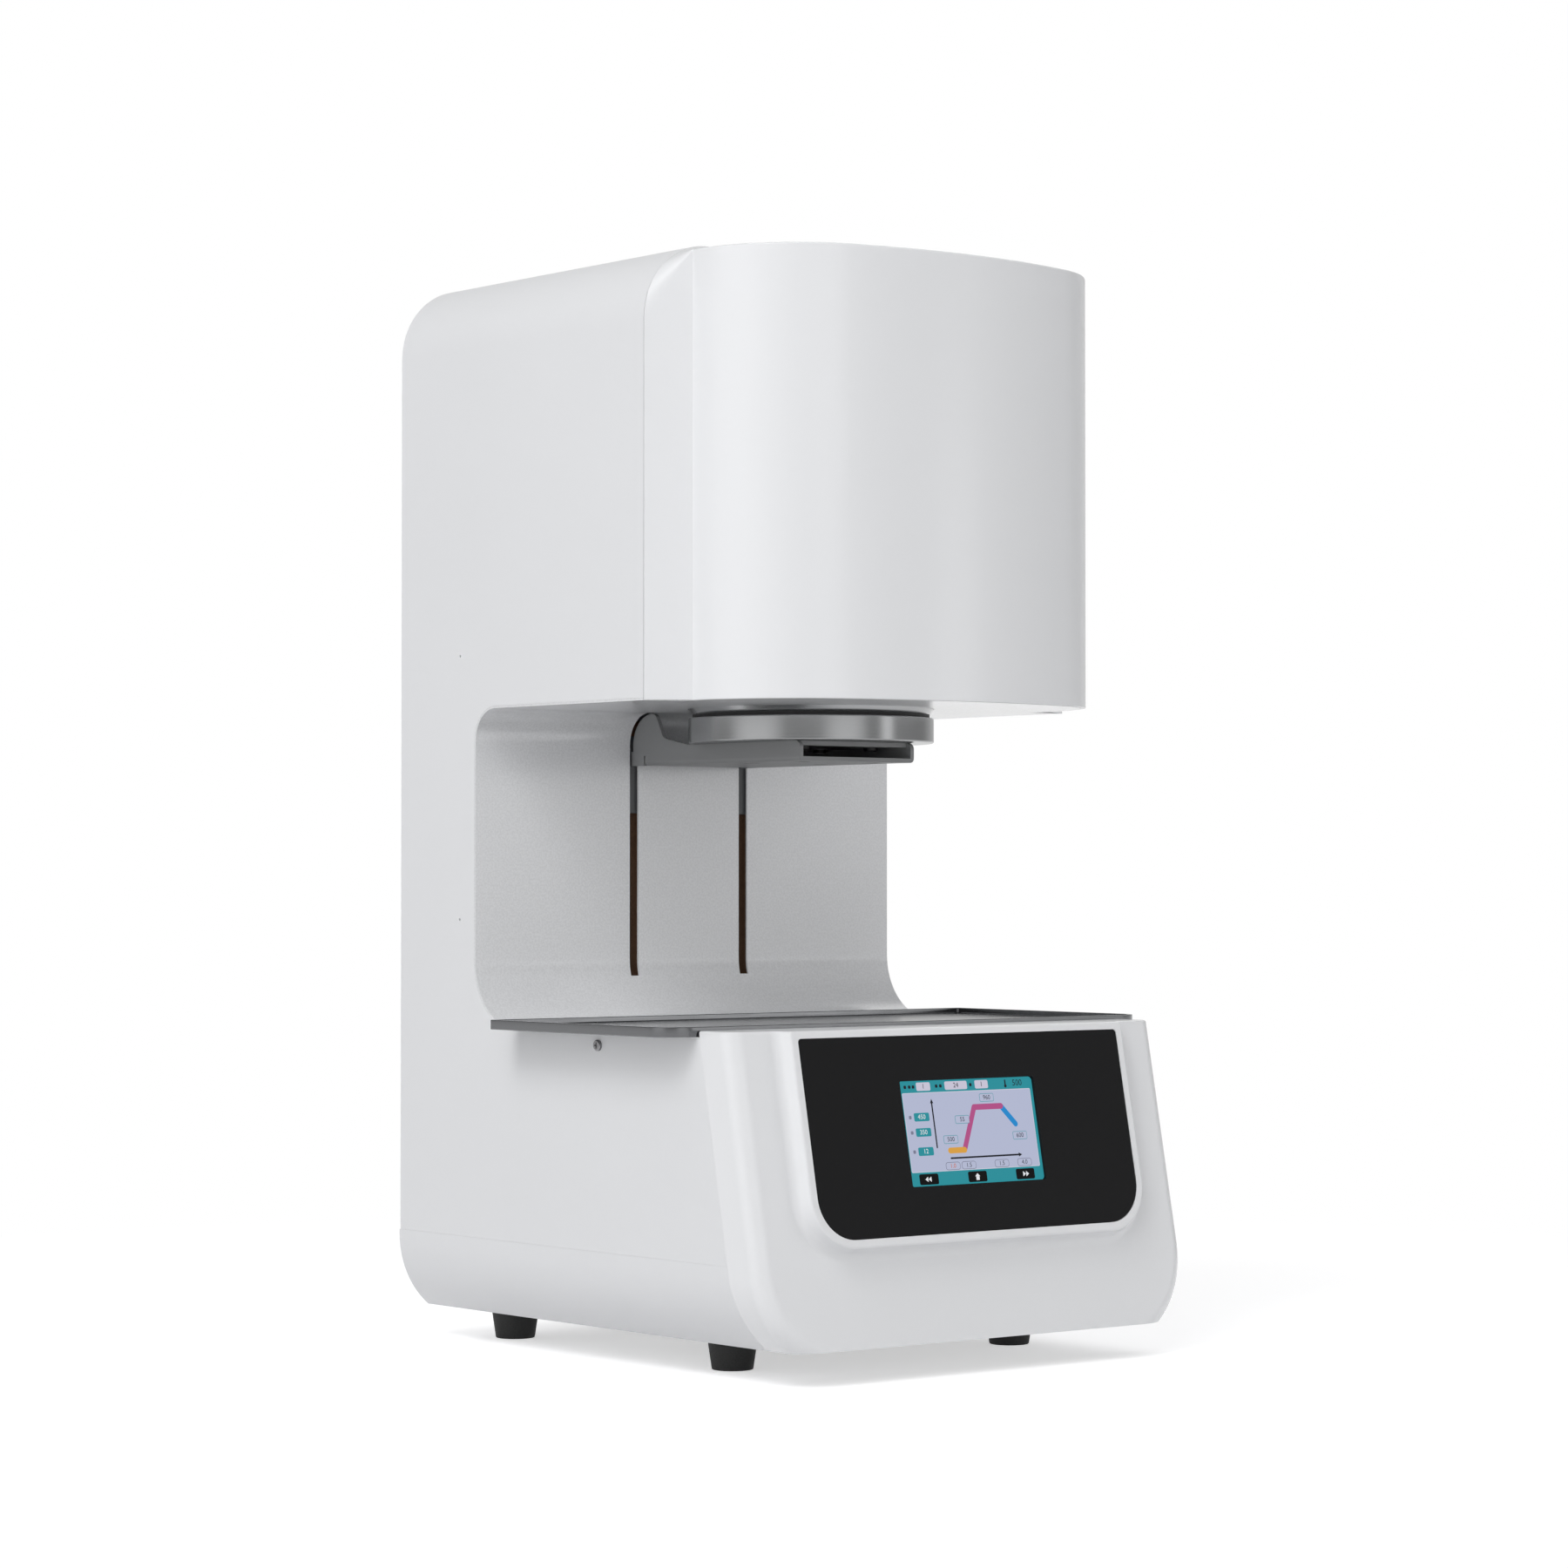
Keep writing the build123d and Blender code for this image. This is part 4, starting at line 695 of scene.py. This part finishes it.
def makeCoil():
    low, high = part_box("heating_coil")
    wire, side, tall = coil["wire"] * mm, coil["leadSide"] * mm, coil["leadLong"] * mm
    radius = (high.x - low.x) / 2 - wire
    middleY = (low.y + high.y) / 2
    made = shapeTree("heaterHelix", helixTree, {
        "Wire": wire,
        "Steps": coil["steps"],
        "Turns": coil["turns"] - 0.5,  # ends on the side away from its start
        "Starts": 1,
        "Radius": radius,
        "Rise": high.z - tall - low.z - 2 * wire,
        "Foot": (0.0, middleY, low.z + wire),
        "Rod": coil["lead"] * mm,
        "Rod length": tall,
        "Rods": 2,
        "Rod place": (-side, middleY, high.z - tall / 2),
        "Rod step": (2 * side, 0.0, 0.0),
    }, materials["heater_wire"])
    settle(made, "heating_coil", replaces=True)


rocker = {
    "lean": 8.0,  # degrees at rest, with the off side pressed in
    "back": 2.0,  # mm from the panel's face to the pivot
    "half": 7.6,  # middle of the face to its top or bottom edge
    "waist": 0.6,  # face's middle line, inward of the pivot
    "dish": 1.6,  # how deep the face is hollowed
    "markRise": 3.9,  # mark to the middle of the face
    "lift": 0.06,
    "bar": (0.3, 1.3),  # half width and half height
    "ring": (0.9, 1.4),  # inner and outer radius
    "ringSteps": 24,
    "merge": 0.01,
}


def makeRockerMarks():  # a bar for on and a ring for off, printed on the two halves of the face
    low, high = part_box("switch_frame")
    pivot = Vector(((low.x + high.x) / 2, rearY - rocker["back"] * mm, (low.z + high.z) / 2))
    half = rocker["half"]
    slope = atan2(rocker["dish"], half)
    shape = bmesh.new()
    turn = Matrix.Rotation(radians(rocker["lean"]), 4, "X")
    for side in (1, -1):
        rise = side * rocker["markRise"]
        hollow = rocker["dish"] * rocker["markRise"] / half
        proud = rocker["back"] - rocker["waist"] + hollow + rocker["lift"]
        face = Matrix.Translation((0, proud, rise)) @ Matrix.Rotation(radians(90) - side * slope, 4, "X")
        if side > 0:
            wide, tall = rocker["bar"]
            outlines = [[(-wide, -tall), (wide, -tall), (wide, tall), (-wide, tall)]]
        else:
            inner, outer = rocker["ring"]
            count = rocker["ringSteps"]
            steps = [radians(360 / count * i) for i in range(count + 1)]
            outlines = []
            for a, b in zip(steps, steps[1:]):
                around = ((a, inner), (a, outer), (b, outer), (b, inner))
                outlines.append([(r * cos(t), r * sin(t)) for t, r in around])
        for outline in outlines:
            corners = [shape.verts.new(turn @ face @ Vector((x, y, 0))) for x, y in outline]
            made = shape.faces.new(corners)
            made.normal_update()
            if made.normal.y < 0:
                made.normal_flip()
    mesh = bpy.data.meshes.new("rockerMarks")
    bmesh.ops.remove_doubles(shape, verts=shape.verts, dist=rocker["merge"])
    shape.to_mesh(mesh)
    shape.free()
    mesh.transform(Matrix.Translation(pivot) @ Matrix.Scale(mm, 4))
    mesh.materials.append(paint("markInk", rgb(225, 226, 228), 0.5, 900, 0.00002))
    piece = bpy.data.objects.new("rockerMarks", mesh)
    scene.collection.objects.link(piece)
    settle(piece, "switch_rocker")


makeLeadScrew()
makeCoil()
makeRockerMarks()
print("stage: lead screw, coil and switch marks")

camera = {
    "place": (-1.4676, rearY - 1.9849, 0.2580),
    "turn": (91.2476, 0.0, -38.796),  # degrees
    "lens": 97.143,
    "sensor": 36.0,
}


def makeCamera():
    data = bpy.data.cameras.new("camera")
    data.lens = camera["lens"]
    data.sensor_width = camera["sensor"]
    obj = bpy.data.objects.new("camera", data)
    obj.location = camera["place"]
    obj.rotation_euler = [radians(a) for a in camera["turn"]]
    scene.collection.objects.link(obj)
    scene.camera = obj


makeCamera()

studio = {
    "floorHalf": 30.0,
    "floorGlow": 0.52,  # what the camera sees of the floor's own white
    "floorFade": (0.42, 0.9),  # m from the middle, where the floor turns plain white
    "floorColour": rgb(232, 232, 233),
    "worldLevel": 0.33,
    "gleamLow": 0.34,  # the room as polished surfaces see it
    "gleamCore": 0.35,  # share of a gleam's half angle that is at full strength
    "gleams": [  # direction, half angle in degrees, strength
        ((-1.0, 0.03, 0.0), 30, 0.95),
        ((-0.12, -1.0, 0.0), 24, 0.9),
        ((0.75, 0.65, 0.1), 40, 0.3),
        ((0.6, -0.8, 0.0), 9, 1.6),
        ((-0.55, -0.2, 0.8), 22, 1.2),
        ((0.63, 0.4, 0.66), 20, 1.2),
    ],
    "aim": (0, 0, 0.3),
    "lamps": [  # name, place, size, watts
        ("leftLamp", (-2.4, -1.5, 2.3), 2.0, 26.0),
        ("highLamp", (-2.0, -0.5, 2.7), 1.2, 28.0),
        ("lowLamp", (-2.6, -1.6, 0.3), 1.6, 13.0),
        ("rightLamp", (2.6, -2.4, 1.4), 2.0, 23.0),
        ("backLamp", (1.2, 3.2, 1.8), 2.0, 38.0),
    ],
}


def makeFloor():
    floorMesh = bpy.data.meshes.new("floor")
    h = studio["floorHalf"]
    floorMesh.from_pydata([(-h, -h, 0), (h, -h, 0), (h, h, 0), (-h, h, 0)], [], [(0, 1, 2, 3)])
    floor = bpy.data.objects.new("floor", floorMesh)
    scene.collection.objects.link(floor)
    mat, tree, shader = newMaterial("floorPaper", baseColor=studio["floorColour"], roughness=0.9,
                                    specularIorLevel=0.0)
    path = tree.nodes.new("ShaderNodeLightPath")
    direct = Field(tree, path.outputs["Is Camera Ray"])
    for ray in ("Is Glossy Ray", "Is Transmission Ray"):
        direct = direct.op("MAXIMUM", Field(tree, path.outputs[ray]))
    white = node(tree, "ShaderNodeEmission", inputs={"Color": (1, 1, 1, 1),
                                                     "Strength": direct * studio["floorGlow"]})
    paper = node(tree, "ShaderNodeAddShader", inputs=[Field(tree, shader.outputs[0]), white])
    away = node(tree, "ShaderNodeVectorMath", {"operation": "LENGTH"}, [objectPlace(tree)], output=1)
    near, far = studio["floorFade"]
    fade = remap(tree, away, near, far, 0.0, 1.0) * direct
    plain = node(tree, "ShaderNodeEmission", inputs={"Color": (1, 1, 1, 1), "Strength": 1.0})
    ground = node(tree, "ShaderNodeMixShader", inputs=[fade, paper, plain])
    tree.links.new(ground.socket, tree.nodes["Material Output"].inputs["Surface"])
    floorMesh.materials.append(mat)


def makeWorld():
    world = bpy.data.worlds.new("studio")
    scene.world = world
    world.use_nodes = True
    tree = world.node_tree
    background = tree.nodes["Background"]
    background.inputs["Color"].default_value = (1, 1, 1, 1)
    path = tree.nodes.new("ShaderNodeLightPath")
    ahead = node(tree, "ShaderNodeTexCoord")
    gleam = 0.0
    for way, half, strength in studio["gleams"]:
        facing = node(tree, "ShaderNodeVectorMath", {"operation": "DOT_PRODUCT"},
                      [ahead, Vector(way).normalized()], output=1)
        edge, core = cos(radians(half)), cos(radians(half * studio["gleamCore"]))
        soft = remap(tree, facing, edge, core, 0.0, strength)
        gleam = soft + gleam
    gleam = gleam + studio["gleamLow"]
    seen = Field(tree, path.outputs["Is Camera Ray"])
    seen = seen.op("MAXIMUM", Field(tree, path.outputs["Is Transmission Ray"]))
    glossy = Field(tree, path.outputs["Is Glossy Ray"])
    level = studio["worldLevel"]
    plain = seen * (1 - level) + level
    strength = glossy * gleam + (1 - glossy) * plain
    tree.links.new(strength.socket, background.inputs["Strength"])


def makeStudio():
    makeFloor()
    makeWorld()
    for name, place, size, watts in studio["lamps"]:
        lamp = bpy.data.lights.new(name, "AREA")
        lamp.size = size
        lamp.energy = watts
        obj = bpy.data.objects.new(name, lamp)
        obj.location = place
        aim = Vector(studio["aim"]) - Vector(place)
        obj.rotation_euler = aim.to_track_quat("-Z", "Y").to_euler()
        obj.visible_glossy = False
        scene.collection.objects.link(obj)
    scene.view_settings.view_transform = "Standard"


makeStudio()
print("stage: camera and studio")
